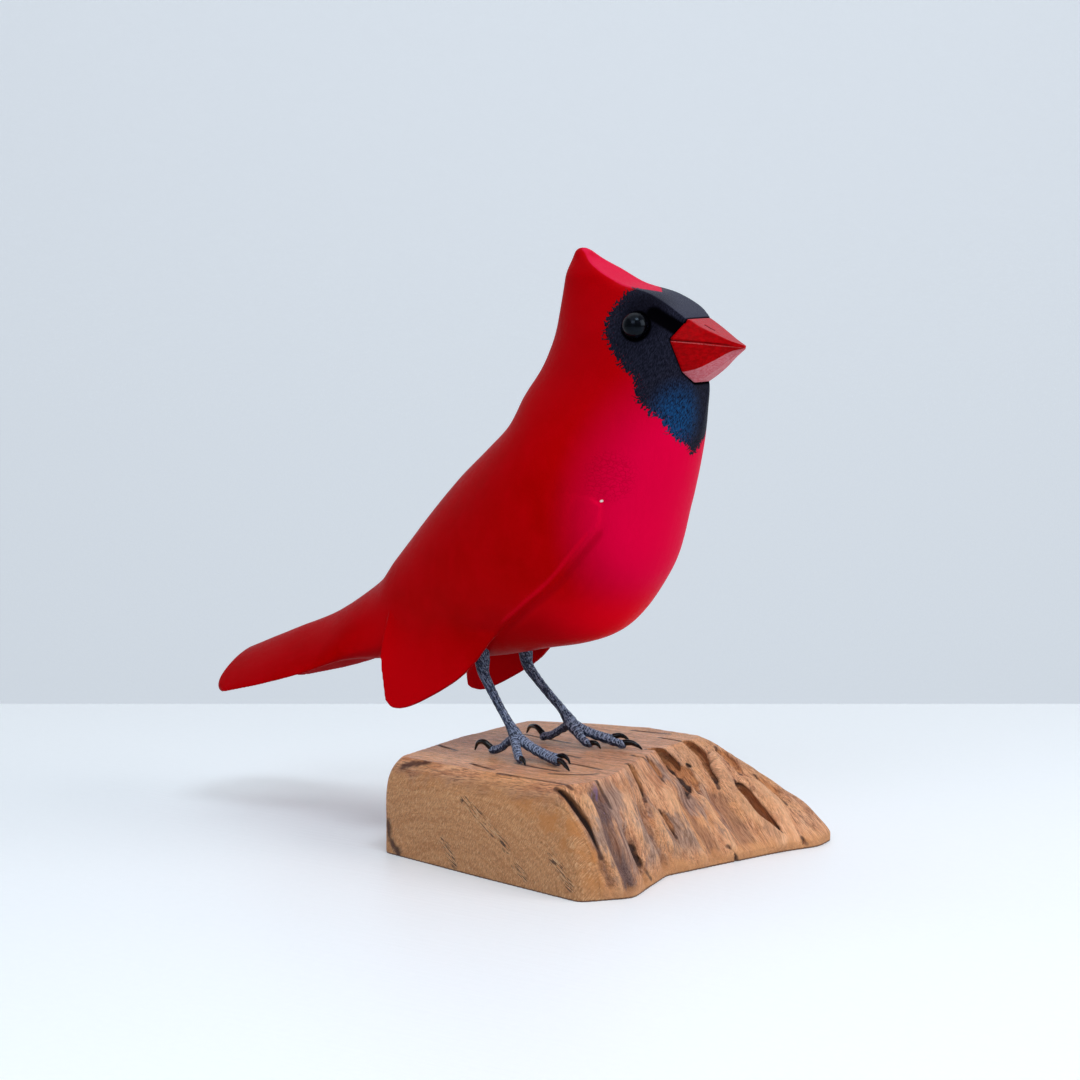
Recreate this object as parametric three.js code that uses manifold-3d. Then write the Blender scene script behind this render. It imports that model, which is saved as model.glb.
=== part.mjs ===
// A carved and painted wooden northern cardinal that stands on a block of natural wood.
// Millimetres, +Z up. The bird looks along +X and its left side is +Y.
// The origin is on the flat underside of the block, below the bird's middle.

import * as THREE from 'three';
import { mergeVertices } from 'three/addons/utils/BufferGeometryUtils.js';
import Module from 'manifold-3d';

const wasm = await Module();
wasm.setup();

// Clearance that touching pieces keep, and how much larger than a piece its bed is cut
const GAP = 0.3;
const WING_BED = 1.9 * GAP;
const BILL_BED = 1.4 * GAP;
const ROUND_BED = 1.1 * GAP;

// Sections of the carved body, from the tail to the crest: the back and the front end on the
// middle plane as [x, z], the half width, the half width of the flat that is planed on the
// front, the squareness of the back and of the front (2 is an ellipse), the taper that narrows
// the back, and the droop, which is how far the sides hang below the middle.
const SECTIONS = [
  [[-111.2, 49.3], [-110.2, 45.8], 20.0, 0, [2.2, 2.2], 0, 10.5],
  [[-92, 57.0], [-90.5, 51.5], 19.8, 0, [2.1, 2.1], 0, 12.0],
  [[-75, 63.8], [-71.5, 54.5], 18.0, 0, [2.0, 2.0], 0, 10.5],
  [[-57, 74.8], [-53, 52.0], 16.0, 0, [2.0, 2.2], 0, 4.5],
  [[-47.4, 84.2], [-27, 53.3], 19.0, 0, [2.0, 2.0], 0, 0],
  [[-34.5, 98.3], [2.0, 58.8], 24.0, 0, [2.0, 2.0], 0, 0],
  [[-23.3, 109.6], [26.5, 65.8], 27.0, 0, [2.0, 2.0], 0, 0],
  [[-12.9, 118.3], [40.9, 82.6], 28.0, 0, [2.0, 2.0], 0, 0],
  [[-5.5, 125.2], [47.6, 101.7], 26.0, 0, [2.0, 2.0], 0, 0],
  [[-1.7, 133.3], [52.6, 119.0], 21.5, 1.5, [2.0, 2.0], 0.05, 0],
  [[2.9, 140.8], [54.6, 132.4], 17.0, 3.6, [2.0, 2.0], 0.1, 0],
  [[5.9, 147.3], [55.6, 141.4], 15.2, 3.7, [2.0, 1.8], 0.12, 0],
  [[7.3, 151.9], [55.4, 151.2], 14.0, 4.8, [2.0, 1.8], 0.12, 0],
  [[8.5, 156.9], [52.9, 156.9], 11.6, 6.5, [2.2, 2.2], 0.1, 0],
  [[9.5, 162.3], [43.3, 162.3], 9.0, 6.5, [2.3, 2.6], 0.08, 0],
  [[11.0, 168.6], [31.3, 165.6], 7.6, 6.1, [2.4, 2.6], 0.05, 0],
  [[13.1, 175.9], [20.3, 170.6], 8.0, 7.3, [2.4, 2.4], 0, 0],
];
const AROUND = 36;
const RINGS_PER_SECTION = 3;
const TAIL_JOIN = 3;
const NECK_JOIN = 9.4;
const CREST_START = 15.75;

// The tail's end: a shallow notch between two rounded corners, and its rounding in turns of a
// quarter circle. The crest is rounded over in the same way.
const TAIL_NOTCH = 5;
const TAIL_CORNER = 6.6;
const TAIL_ROUND = 1.7;
const TAIL_NARROW = 0.06;
const TAIL_TURNS = [0.95, 0.75, 0.5, 0.25];
const CREST_TURNS = [0.3, 0.55, 0.75, 0.9, 0.98];

// Wings. Each row is a line across the wing in side view, from its upper edge to its lower
// one, as [x, z], and the half span that its outer face has at least at those edges. The
// left wing's tip is cut squarer than the right one's.
const WING_LINES = [
  [[31.5, 108.5], [36.3, 104.5], [0, 0]],
  [[20.0, 113.0], [35.0, 98.5], [0, 0]],
  [[8.0, 113.0], [30.0, 91.5], [0, 0]],
  [[-3.0, 108.0], [21.5, 82.0], [2, 6]],
  [[-13.0, 100.5], [10.0, 73.3], [5, 14]],
  [[-23.0, 92.0], [-2.5, 64.5], [9, 18]],
  [[-31.5, 83.5], [-12.0, 53.5], [12, 19.5]],
  [[-38.0, 75.0], [-21.8, 46.6], [15, 19.5]],
];
const WING_TIPS = {
  left: [
    [[-40.9, 66.5], [-32.8, 41.0], [17.5, 19.4]],
    [[-41.6, 57.5], [-37.9, 40.3], [19, 19.3]],
    [[-41.2, 52.0], [-40.6, 41.2], [19.3, 19.3]],
  ],
  right: [
    [[-42.0, 66.5], [-32.8, 41.0], [17.5, 19.4]],
    [[-44.0, 57.5], [-39.2, 39.7], [19, 19.3]],
    [[-44.0, 52.0], [-42.4, 41.7], [19.3, 19.3]],
  ],
};
// The wing stands WING_RELIEF proud from the share WING_FULL of its width on, and its upper
// edge sinks into the body over the share WING_BURIED.
const WING_RELIEF = 0.9;
const WING_FULL = 0.45;
const WING_SINK = 1.6;
const WING_BURIED = 0.33;
const WING_SPREAD = [0.1, 0.6];
const WING_THICK = 3.2;
const WING_EDGE = 1.6;
const WING_ROUND = 0.6;
const WING_TUCK = 4;
const WING_BLEND = 2;
const WING_ACROSS = 10;
const WING_STEPS = 2;

// Bill: its tip, and its corners in the face on one side as [x, half width, z]. wide and high
// are the shares of a corner's width and height that are left at even steps to the tip.
const BILL_TIP = [69.2, 148.3];
const BILL_CORNERS = {
  top: { root: [54.8, 5.4, 155.7], wide: [1, 0.95, 0.68, 0.41, 0.06], high: [1, 0.72, 0.48, 0.24, 0.06] },
  gape: { root: [50.9, 8.7, 150.1], wide: [1, 0.84, 0.61, 0.33, 0.06], high: [1, 0.84, 0.61, 0.33, 0.06] },
  low: { root: [53.4, 6.2, 141.3], wide: [1, 0.85, 0.54, 0.19, 0.05], high: [1, 0.85, 0.54, 0.19, 0.05] },
  bottom: { root: [55.6, 3.6, 138.3], wide: [1, 0.8, 0.57, 0.3, 0.06], high: [1, 0.8, 0.57, 0.3, 0.06] },
};
const BILL_BACK = 48;

// Eyes: glass beads
const EYE_RADIUS = 3.7;
const EYE_AT = [41.7, 153.9];
const EYE_PROUD = 0.3;

// Wood block: its corners at the floor and at the top face as [x, y], and how steep each
// corner's side is, where 1 leans evenly from floor to top, and more stands up before it
// rounds over. The lowest part of the height, its foot, stands upright.
const BLOCK_HEIGHT = 28;
const BLOCK_CORNERS = [
  [[-34.5, 41.0], [-32.5, 38.5], 9],
  [[-35.0, 4.0], [-33.0, 4.0], 9],
  [[-31.8, -33.6], [-28.6, -29.4], 7],
  [[8.0, -41.5], [8.0, -32.5], 4],
  [[48.6, -48.8], [33.0, -35.5], 2],
  [[57.8, -36.0], [37.0, -27.0], 1.5],
  [[53.5, -20.0], [36.0, -14.0], 1.3],
  [[51.0, -10.0], [32.5, -3.0], 1.2],
  [[54.0, 3.0], [29.5, 8.0], 1.2],
  [[58.0, 19.0], [26.0, 21.0], 1.1],
  [[62.0, 35.0], [25.5, 34.0], 1.1],
  [[67.0, 47.0], [26.0, 43.0], 1.1],
  [[65.5, 57.5], [24.0, 49.0], 1.3],
  [[22.0, 54.5], [4.0, 50.5], 4],
  [[-12.0, 48.5], [-14.0, 46.0], 7],
];
const BLOCK_STEPS = 8;
const BLOCK_FOOT = 0.08;
const BLOCK_LEVELS = [0, BLOCK_FOOT, 0.25, 0.45, 0.63, 0.78, 0.89, 0.96, 1];

// Clefts of the block's natural edge: where each starts along the outline, in corners, how
// it drifts from top to floor, its half width in corners, its depth, and the heights
// between which it runs, from 0 at the floor to 1 at the top. It runs out over a sixth of
// the height at each end.
const CLEFTS = [
  { at: 4.6, drift: 0.9, half: 0.16, deep: 3.5, from: 0.05, to: 1.05 },
  { at: 7.0, drift: 0.5, half: 0.12, deep: 2.0, from: 0.55, to: 1.1 },
  { at: 8.5, drift: 0.7, half: 0.22, deep: 3.0, from: 0.55, to: 1.15 },
  { at: 9.6, drift: 0.8, half: 0.14, deep: 2.6, from: 0.5, to: 1.15 },
  { at: 10.6, drift: 0.8, half: 0.34, deep: 3.6, from: 0.15, to: 0.8 },
  { at: 7.2, drift: 0.3, half: 0.3, deep: 1.8, from: -0.3, to: 0.45 },
];
const CLEFT_END = 1 / 6;

// Legs and feet, for each side. Points are [x, y, z] and the last number is the radius.
const FEET = {
  right: {
    shank: [
      [-13.5, -10.6, 60, 2.35], [-12.9, -10.8, 55, 2.25], [-12.2, -11.0, 51.5, 1.65],
      [-9.6, -11.3, 47.5, 1.4], [-5.8, -11.8, 42.5, 1.25], [-2.2, -12.3, 38.2, 1.35],
      [0.4, -12.6, 35.0, 1.95], [1.6, -12.7, 33.4, 1.8],
    ],
    toes: {
      middle: [
        [0.8, -12.8, 34.4, 1.8], [4.8, -13.0, 32.8, 1.45], [9.6, -13.4, 31.0, 1.3],
        [14.2, -14.2, 29.9, 1.2], [17.6, -15.6, 29.6, 1.25],
      ],
      inner: [
        [1.0, -12.0, 34.2, 1.6], [5.0, -10.9, 31.9, 1.25],
        [9.6, -10.2, 30.2, 1.15], [13.6, -10.2, 29.5, 1.1],
      ],
      outer: [
        [0.8, -13.4, 34.2, 1.6], [2.8, -15.4, 31.9, 1.3],
        [4.9, -17.3, 30.1, 1.25], [6.6, -18.6, 29.5, 1.15],
      ],
      hind: [
        [0.2, -12.5, 34.4, 1.5], [-3.2, -11.9, 32.2, 1.15],
        [-5.8, -11.9, 30.3, 1.15], [-8.2, -12.2, 29.6, 1.2],
      ],
    },
    claws: {
      middle: [
        [18.1, -15.9, 30.0, 0.95], [20.3, -17.1, 30.1, 0.8],
        [22.6, -18.4, 29.2, 0.6], [24.4, -19.6, 28.6, 0.25],
      ],
      inner: [
        [14.3, -10.3, 29.9, 0.9], [16.2, -10.8, 30.4, 0.75],
        [18.0, -11.3, 29.8, 0.5], [18.9, -11.5, 28.6, 0.25],
      ],
      outer: [
        [7.1, -19.0, 29.9, 0.85], [8.3, -19.8, 30.0, 0.7],
        [9.3, -20.4, 29.4, 0.5], [9.8, -20.7, 28.6, 0.25],
      ],
      hind: [
        [-8.8, -12.4, 30.4, 0.95], [-11.0, -12.6, 31.7, 0.8],
        [-13.8, -11.8, 31.0, 0.6], [-15.4, -11.1, 28.7, 0.25],
      ],
    },
  },
  left: {
    shank: [
      [-14.0, 10.8, 60, 2.3], [-13.3, 11.0, 55, 2.15], [-12.6, 11.2, 51, 1.7],
      [-9.4, 11.6, 47.0, 1.4], [-5.0, 12.1, 42.5, 1.3], [-1.0, 12.6, 38.6, 1.35],
      [1.6, 13.0, 35.2, 2.0], [2.8, 13.2, 33.6, 1.8],
    ],
    toes: {
      middle: [
        [2.0, 13.3, 34.5, 1.8], [5.6, 14.6, 32.8, 1.45], [10.2, 16.0, 31.2, 1.3],
        [14.6, 16.8, 30.1, 1.2], [17.4, 17.2, 29.6, 1.25],
      ],
      inner: [
        [2.2, 12.6, 34.3, 1.6], [5.0, 12.2, 32.1, 1.3], [7.4, 11.9, 30.3, 1.2], [9.2, 12.0, 29.5, 1.1],
      ],
      outer: [
        [2.1, 13.8, 34.3, 1.6], [4.8, 17.2, 32.1, 1.3], [7.6, 20.2, 30.6, 1.2], [10.0, 22.2, 29.8, 1.1],
      ],
      hind: [
        [1.4, 12.9, 34.5, 1.5], [-2.4, 13.6, 32.3, 1.15], [-5.6, 13.5, 30.4, 1.15], [-8.6, 13.6, 29.6, 1.2],
      ],
    },
    claws: {
      middle: [
        [18.0, 17.3, 30.1, 0.95], [20.2, 17.9, 30.2, 0.8],
        [22.0, 18.3, 29.5, 0.6], [23.3, 18.6, 28.6, 0.25],
      ],
      inner: [
        [9.8, 12.1, 29.9, 0.85], [11.1, 12.3, 30.0, 0.7], [12.1, 12.5, 29.4, 0.5], [12.7, 12.6, 28.6, 0.25],
      ],
      outer: [
        [10.6, 22.7, 30.3, 0.9], [12.2, 23.7, 30.6, 0.75],
        [13.7, 24.6, 29.9, 0.5], [14.6, 25.2, 28.6, 0.25],
      ],
      hind: [
        [-9.2, 13.8, 30.5, 0.95], [-11.6, 14.2, 32.0, 0.8],
        [-15.4, 16.2, 31.4, 0.6], [-18.0, 18.0, 29.0, 0.25],
      ],
    },
  },
};
const LIMB_SIDES = 8;
const CLAW_SIDES = 6;
const LIMB_STEPS = 2;
// The rounded end of a limb, as shares of its radius there
const LIMB_END = { size: 0.6, reach: 0.5 };

// Paint, glass and wood: colour, roughness
const FINISH = {
  red: [0xb00d18, 0.45],
  bill: [0xb8262c, 0.3],
  glass: [0x08080c, 0.05],
  leg: [0x5d6478, 0.55],
  claw: [0x0b0b0e, 0.35],
  wood: [0xb97f55, 0.6],
};

// A smooth curve through rows that are one step apart. A row is a number or an array of them.
function through(rows, s) {
  const last = rows.length - 1;
  const i = Math.min(Math.max(Math.floor(s), 0), last - 1);
  const b = rows[i];
  if (Array.isArray(b)) {
    return b.map((_, column) => through(rows.map((row) => row[column]), s));
  }
  const f = s - i;
  const c = rows[i + 1];
  const a = i > 0 ? rows[i - 1] : 2 * b - c;
  const d = i + 2 <= last ? rows[i + 2] : 2 * c - b;
  const slope = c - a;
  const bend = 2 * a - 5 * b + 4 * c - d;
  const twist = 3 * b - a - 3 * c + d;
  return 0.5 * (2 * b + slope * f + bend * f ** 2 + twist * f ** 3);
}

// A blend of two numbers, or of two arrays of them
function blend(a, b, share) {
  return Array.isArray(a) ? a.map((_, i) => blend(a[i], b[i], share)) : a + (b - a) * share;
}

// The body's section at s. reach is half its length from front to back, as if its front were
// not planed, and planed is the share of it that the flat leaves.
function sectionAt(s) {
  const [back, front, half, flat, square, taper, droop] = through(SECTIONS, s);
  const planed = (1 - (Math.max(0, flat) / half) ** square[1]) ** (1 / square[1]);
  const reach = [(back[0] - front[0]) / (1 + planed), (back[1] - front[1]) / (1 + planed)];
  const middle = [back[0] - reach[0], back[1] - reach[1]];
  return { middle, reach, half, planed, square, taper, droop };
}

// Height and width of a blunt oval at an angle, from -1 to 1
function oval(angle, squareness) {
  const [back, front] = squareness;
  const up = Math.sin(angle);
  const side = Math.cos(angle);
  const power = 2 / (up >= 0 ? back : front);
  return [Math.sign(up) * Math.abs(up) ** power, Math.sign(side) * Math.abs(side) ** power];
}

// One ring of the body at s. thin and narrow scale it, and push moves it along the body.
function bodyRing(s, thin = 1, narrow = 1, push = 0) {
  const { middle, reach, half, planed, square, taper, droop } = sectionAt(s);
  const length = Math.hypot(...reach);
  const rise = [reach[0] / length, reach[1] / length];
  const away = [-rise[1], rise[0]];
  const tail = Math.max(0, 1 - s);
  const ring = [];
  for (let i = 0; i < AROUND; i += 1) {
    const [height, side] = oval((2 * Math.PI * i) / AROUND, square);
    const up = Math.max(height, -planed);
    const q = Math.abs(side);
    const corner = tail * (TAIL_NOTCH * q * q - TAIL_CORNER * q ** 8) + push;
    const hang = droop * q ** 1.6;
    ring.push(new THREE.Vector3(
      middle[0] + reach[0] * up * thin + away[0] * corner - rise[0] * hang,
      half * narrow * side * (1 - taper * up),
      middle[1] + reach[1] * up * thin + away[1] * corner - rise[1] * hang,
    ));
  }
  return ring;
}

// Half width of the body at a point of the side view, or 0 outside it
function sideAt(x, z) {
  let low = TAIL_JOIN;
  let high = CREST_START;
  const beside = (s) => {
    const { middle, reach } = sectionAt(s);
    return (x - middle[0]) * reach[1] - (z - middle[1]) * reach[0];
  };
  for (let step = 0; step < 40; step += 1) {
    const half = (low + high) / 2;
    if (beside(half) > 0) {
      low = half;
    } else {
      high = half;
    }
  }
  const { middle, reach, half, square, taper } = sectionAt(low);
  const along = (x - middle[0]) * reach[0] + (z - middle[1]) * reach[1];
  const up = along / (reach[0] ** 2 + reach[1] ** 2);
  if (Math.abs(up) >= 1) {
    return 0;
  }
  const power = up >= 0 ? square[0] : square[1];
  return half * (1 - Math.abs(up) ** power) ** (1 / power) * (1 - taper * up);
}

// A closed body from rings with the same number of points, with a fan at each end
function loft(rings) {
  const count = rings[0].length;
  const positions = [];
  const faces = [];
  for (const ring of rings) {
    for (const point of ring) {
      positions.push(point.x, point.y, point.z);
    }
  }
  for (let r = 0; r + 1 < rings.length; r += 1) {
    for (let i = 0; i < count; i += 1) {
      const a = r * count + i;
      const b = r * count + ((i + 1) % count);
      faces.push(a, b, b + count, a, b + count, a + count);
    }
  }
  const cap = (ring, start, flip) => {
    const centre = new THREE.Vector3();
    ring.forEach((point) => centre.add(point));
    centre.divideScalar(count);
    const tip = positions.length / 3;
    positions.push(centre.x, centre.y, centre.z);
    for (let i = 0; i < count; i += 1) {
      const a = start + i;
      const b = start + ((i + 1) % count);
      faces.push(...(flip ? [b, a, tip] : [a, b, tip]));
    }
  };
  cap(rings[0], 0, true);
  cap(rings[rings.length - 1], (rings.length - 1) * count, false);
  const geometry = new THREE.BufferGeometry();
  geometry.setAttribute('position', new THREE.Float32BufferAttribute(positions, 3));
  geometry.setIndex(faces);
  return volume(geometry) < 0 ? flipped(geometry) : geometry;
}

function volume(geometry) {
  const at = geometry.getAttribute('position');
  const index = geometry.getIndex();
  const [a, b, c] = [new THREE.Vector3(), new THREE.Vector3(), new THREE.Vector3()];
  let total = 0;
  for (let i = 0; i < index.count; i += 3) {
    a.fromBufferAttribute(at, index.getX(i));
    b.fromBufferAttribute(at, index.getX(i + 1));
    c.fromBufferAttribute(at, index.getX(i + 2));
    total += a.dot(b.cross(c)) / 6;
  }
  return total;
}

function flipped(geometry) {
  const index = geometry.getIndex();
  for (let i = 0; i < index.count; i += 3) {
    const keep = index.getX(i);
    index.setX(i, index.getX(i + 1));
    index.setX(i + 1, keep);
  }
  return geometry;
}

// The same geometry with only its positions, and no point twice
function merge(geometry) {
  const bare = geometry.clone();
  bare.deleteAttribute('normal');
  bare.deleteAttribute('uv');
  return mergeVertices(bare, 1e-4);
}

// A geometry made larger all round, for the bed that holds it
function grown(geometry, distance) {
  const merged = merge(geometry);
  merged.computeVertexNormals();
  const at = merged.getAttribute('position');
  const normal = merged.getAttribute('normal');
  for (let i = 0; i < at.count; i += 1) {
    at.setXYZ(
      i,
      at.getX(i) + distance * normal.getX(i),
      at.getY(i) + distance * normal.getY(i),
      at.getZ(i) + distance * normal.getZ(i),
    );
  }
  return merged;
}

// A geometry as a solid that can be joined and cut, and back again
function solid(geometry) {
  const merged = merge(geometry);
  return new wasm.Manifold(new wasm.Mesh({
    numProp: 3,
    vertProperties: new Float32Array(merged.getAttribute('position').array),
    triVerts: new Uint32Array(merged.getIndex().array),
  }));
}

function geometryOf(manifold) {
  const pieces = manifold.decompose();
  pieces.sort((one, other) => other.volume() - one.volume());
  const { vertProperties, triVerts } = pieces[0].getMesh();
  const geometry = new THREE.BufferGeometry();
  geometry.setAttribute('position', new THREE.Float32BufferAttribute(vertProperties, 3));
  geometry.setIndex(Array.from(triVerts));
  return geometry;
}

const figure = new THREE.Group();

function place(name, geometry, finish) {
  const [color, roughness] = FINISH[finish];
  const material = new THREE.MeshStandardMaterial({ color, roughness, metalness: 0 });
  const mesh = new THREE.Mesh(geometry, material);
  mesh.name = name;
  figure.add(mesh);
}

// Rings of the body from one place to another, evenly between its sections
function bodyRings(from, to) {
  const steps = Math.max(1, Math.round((to - from) * RINGS_PER_SECTION));
  const rings = [];
  for (let step = 0; step <= steps; step += 1) {
    rings.push(bodyRing(from + ((to - from) * step) / steps));
  }
  return rings;
}

// A flat ring moved off its own plane, so that its neighbour keeps clear of it
function lifted(ring, s, distance) {
  const { reach } = sectionAt(s);
  const up = new THREE.Vector3(-reach[1], 0, reach[0]).normalize();
  return ring.map((point) => point.clone().addScaledVector(up, -distance));
}

function tailRings() {
  const rings = [];
  for (const turn of TAIL_TURNS) {
    const angle = (turn * Math.PI) / 2;
    const narrow = 1 - TAIL_NARROW * Math.sin(angle);
    rings.push(bodyRing(0, Math.cos(angle), narrow, TAIL_ROUND * Math.sin(angle)));
  }
  rings.push(...bodyRings(0, TAIL_JOIN - 1 / RINGS_PER_SECTION));
  rings.push(lifted(bodyRing(TAIL_JOIN), TAIL_JOIN, -GAP));
  return rings;
}

function headRings() {
  const rings = [lifted(bodyRing(NECK_JOIN), NECK_JOIN, GAP)];
  rings.push(...bodyRings(NECK_JOIN + 1 / RINGS_PER_SECTION, CREST_START));
  const left = SECTIONS.length - 1 - CREST_START;
  for (const turn of CREST_TURNS) {
    const angle = (turn * Math.PI) / 2;
    rings.push(bodyRing(CREST_START + left * Math.sin(angle), Math.cos(angle), Math.cos(angle)));
  }
  return rings;
}

// A wing as a curved plate that rises from the body's side and hangs clear behind the legs
function wing(side) {
  const lines = [...WING_LINES, ...WING_TIPS[side > 0 ? 'left' : 'right']];
  const last = lines.length - 1;
  const rings = [];
  const steps = last * WING_STEPS;
  for (let step = 0; step <= steps; step += 1) {
    const s = step / WING_STEPS;
    const [top, low, spans] = through(lines, s);
    const outer = [];
    const inner = [];
    for (let i = 0; i <= WING_ACROSS; i += 1) {
      const v = i / WING_ACROSS;
      const [x, z] = blend(top, low, v);
      const span = blend(...spans, THREE.MathUtils.smoothstep(v, ...WING_SPREAD));
      const body = Math.max(sideAt(x, z), span - WING_TUCK);
      const relief = WING_RELIEF * Math.min(1, v / WING_FULL);
      const proud = body + relief - WING_SINK * Math.max(0, 1 - v / WING_BURIED);
      const lift = proud - span;
      const y = proud + (Math.hypot(lift, WING_BLEND) - lift) / 2;
      const edge = (Math.sin(Math.PI * v) * Math.sin((Math.PI * s) / last)) ** WING_ROUND;
      const thick = WING_EDGE + (WING_THICK - WING_EDGE) * edge;
      outer.push(new THREE.Vector3(x, side * y, z));
      inner.unshift(new THREE.Vector3(x, side * (y - thick), z));
    }
    rings.push([...outer, ...inner]);
  }
  return loft(rings);
}

// A round limb of changing thickness along points that end in a radius
function limb(points, sides) {
  const centres = points.map((p) => new THREE.Vector3(p[0], p[1], p[2]));
  const curve = new THREE.CatmullRomCurve3(centres, false, 'catmullrom');
  const radii = points.map((p) => p[3]);
  const steps = (points.length - 1) * LIMB_STEPS;
  const frames = curve.computeFrenetFrames(steps, false);
  const rings = [];
  const ringAt = (step, scale, ahead) => {
    const t = step / steps;
    const centre = curve.getPoint(t).addScaledVector(curve.getTangent(t), ahead);
    const radius = through(radii, t * (points.length - 1)) * scale;
    const ring = [];
    for (let i = 0; i < sides; i += 1) {
      const angle = (2 * Math.PI * i) / sides;
      ring.push(centre.clone()
        .addScaledVector(frames.normals[step], radius * Math.cos(angle))
        .addScaledVector(frames.binormals[step], radius * Math.sin(angle)));
    }
    return ring;
  };
  rings.push(ringAt(0, LIMB_END.size, -LIMB_END.reach * radii[0]));
  for (let step = 0; step <= steps; step += 1) {
    rings.push(ringAt(step, 1, 0));
  }
  rings.push(ringAt(steps, LIMB_END.size, LIMB_END.reach * radii[radii.length - 1]));
  return loft(rings);
}

// Rings of the bill from its back in the head, past its root in the face, to its tip
function billRings(corners) {
  const rings = [];
  const steps = BILL_CORNERS.top.wide.length - 1;
  for (let step = -1; step <= steps; step += 1) {
    const at = Math.max(step, 0);
    rings.push(corners.map(({ root, wide, high }) => {
      const [x, half, z] = root;
      return new THREE.Vector3(
        step < 0 ? BILL_BACK : x + ((BILL_TIP[0] - x) * at) / steps,
        half * wide[at],
        BILL_TIP[1] + (z - BILL_TIP[1]) * high[at],
      );
    }));
  }
  return rings;
}

// A part of the bill round the corners that it is given for one side
function billPart(corners) {
  const others = corners.map((corner) => {
    const [x, half, z] = corner.root;
    return { ...corner, root: [x, -half, z] };
  });
  return loft(billRings([...corners, ...others.reverse()]));
}

// The gape's corner, moved up or down
function gapeMoved(rise) {
  const [x, half, z] = BILL_CORNERS.gape.root;
  return { ...BILL_CORNERS.gape, root: [x, half, z + rise] };
}

function eye(side) {
  const sphere = new THREE.SphereGeometry(EYE_RADIUS, 14, 10);
  sphere.translate(EYE_AT[0], side * (sideAt(...EYE_AT) + EYE_PROUD), EYE_AT[1]);
  return sphere;
}

// The corners of the block at u, a number of corners from the first one, and all between them
function outlineAt(u) {
  const i = Math.floor(u);
  const f = u - i;
  const share = (f + THREE.MathUtils.smoothstep(f, 0, 1)) / 2;
  const corner = BLOCK_CORNERS[i % BLOCK_CORNERS.length];
  const following = BLOCK_CORNERS[(i + 1) % BLOCK_CORNERS.length];
  return blend(corner, following, share);
}

// How deep the clefts are at u, at a height from 0 to 1
function cleftAt(u, h) {
  let depth = 0;
  for (const { at, drift, half, deep, from, to } of CLEFTS) {
    const off = (u - at + drift * (1 - h)) / half;
    const below = Math.max(0, (h - from) / CLEFT_END);
    const above = Math.max(0, (to - h) / CLEFT_END);
    depth += deep * Math.exp(-off * off) * Math.min(1, below, above);
  }
  return depth;
}

// The wood block, ring by ring from the floor to its top face
function block() {
  const rings = [];
  for (const h of BLOCK_LEVELS) {
    const above = Math.max(0, (h - BLOCK_FOOT) / (1 - BLOCK_FOOT));
    const ring = [];
    for (let i = 0; i < BLOCK_CORNERS.length * BLOCK_STEPS; i += 1) {
      const u = i / BLOCK_STEPS;
      const [floor, top, steep] = outlineAt(u);
      const [x, y] = blend(floor, top, above ** steep);
      const keep = 1 - cleftAt(u, h) / Math.hypot(x, y);
      ring.push(new THREE.Vector3(x * keep, y * keep, BLOCK_HEIGHT * h));
    }
    rings.push(ring);
  }
  return loft(rings);
}

// The legs are cast pieces whose upper ends sit in sockets in the belly
function leg(side) {
  const { shank, toes } = FEET[side];
  let joined = solid(limb(shank, LIMB_SIDES));
  for (const toe of Object.values(toes)) {
    joined = joined.add(solid(limb(toe, LIMB_SIDES)));
  }
  for (const claw of Object.values(FEET[side].claws)) {
    joined = joined.subtract(solid(grown(limb(claw, CLAW_SIDES), GAP)));
  }
  return geometryOf(joined);
}

let torso = solid(loft(bodyRings(TAIL_JOIN, NECK_JOIN)));
for (const side of [1, -1]) {
  torso = torso.subtract(solid(grown(wing(side), WING_BED)));
}
for (const { shank } of Object.values(FEET)) {
  torso = torso.subtract(solid(grown(limb(shank, LIMB_SIDES), ROUND_BED)));
}

let head = solid(loft(headRings()));
const bill = billPart(Object.values(BILL_CORNERS));
head = head.subtract(solid(grown(bill, BILL_BED)));
for (const side of [1, -1]) {
  head = head.subtract(solid(grown(eye(side), ROUND_BED)));
}

place('wood_block', block(), 'wood');
place('torso', geometryOf(torso), 'red');
place('head', geometryOf(head), 'red');
place('tail', loft(tailRings()), 'red');
place('wing_left', wing(1), 'red');
place('wing_right', wing(-1), 'red');
const { top, low, bottom } = BILL_CORNERS;
place('bill_upper', billPart([top, gapeMoved(GAP / 2)]), 'bill');
place('bill_lower', billPart([gapeMoved(-GAP / 2), low, bottom]), 'bill');
place('eye_left', eye(1), 'glass');
place('eye_right', eye(-1), 'glass');
for (const side of ['left', 'right']) {
  place(`leg_${side}`, leg(side), 'leg');
  for (const [toe, points] of Object.entries(FEET[side].claws)) {
    place(`claw_${side}_${toe}`, limb(points, CLAW_SIDES), 'claw');
  }
}

export default figure;
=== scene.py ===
"""A carved and painted wooden northern cardinal on a block of natural wood.

Lengths in this script are millimetres until a mesh is made, which is in metres.
+X is the way the bird looks, +Y its left side and +Z up.
"""
import math

import bpy
import numpy as np
from mathutils import Matrix, Vector, noise
from mathutils.bvhtree import BVHTree


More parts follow.
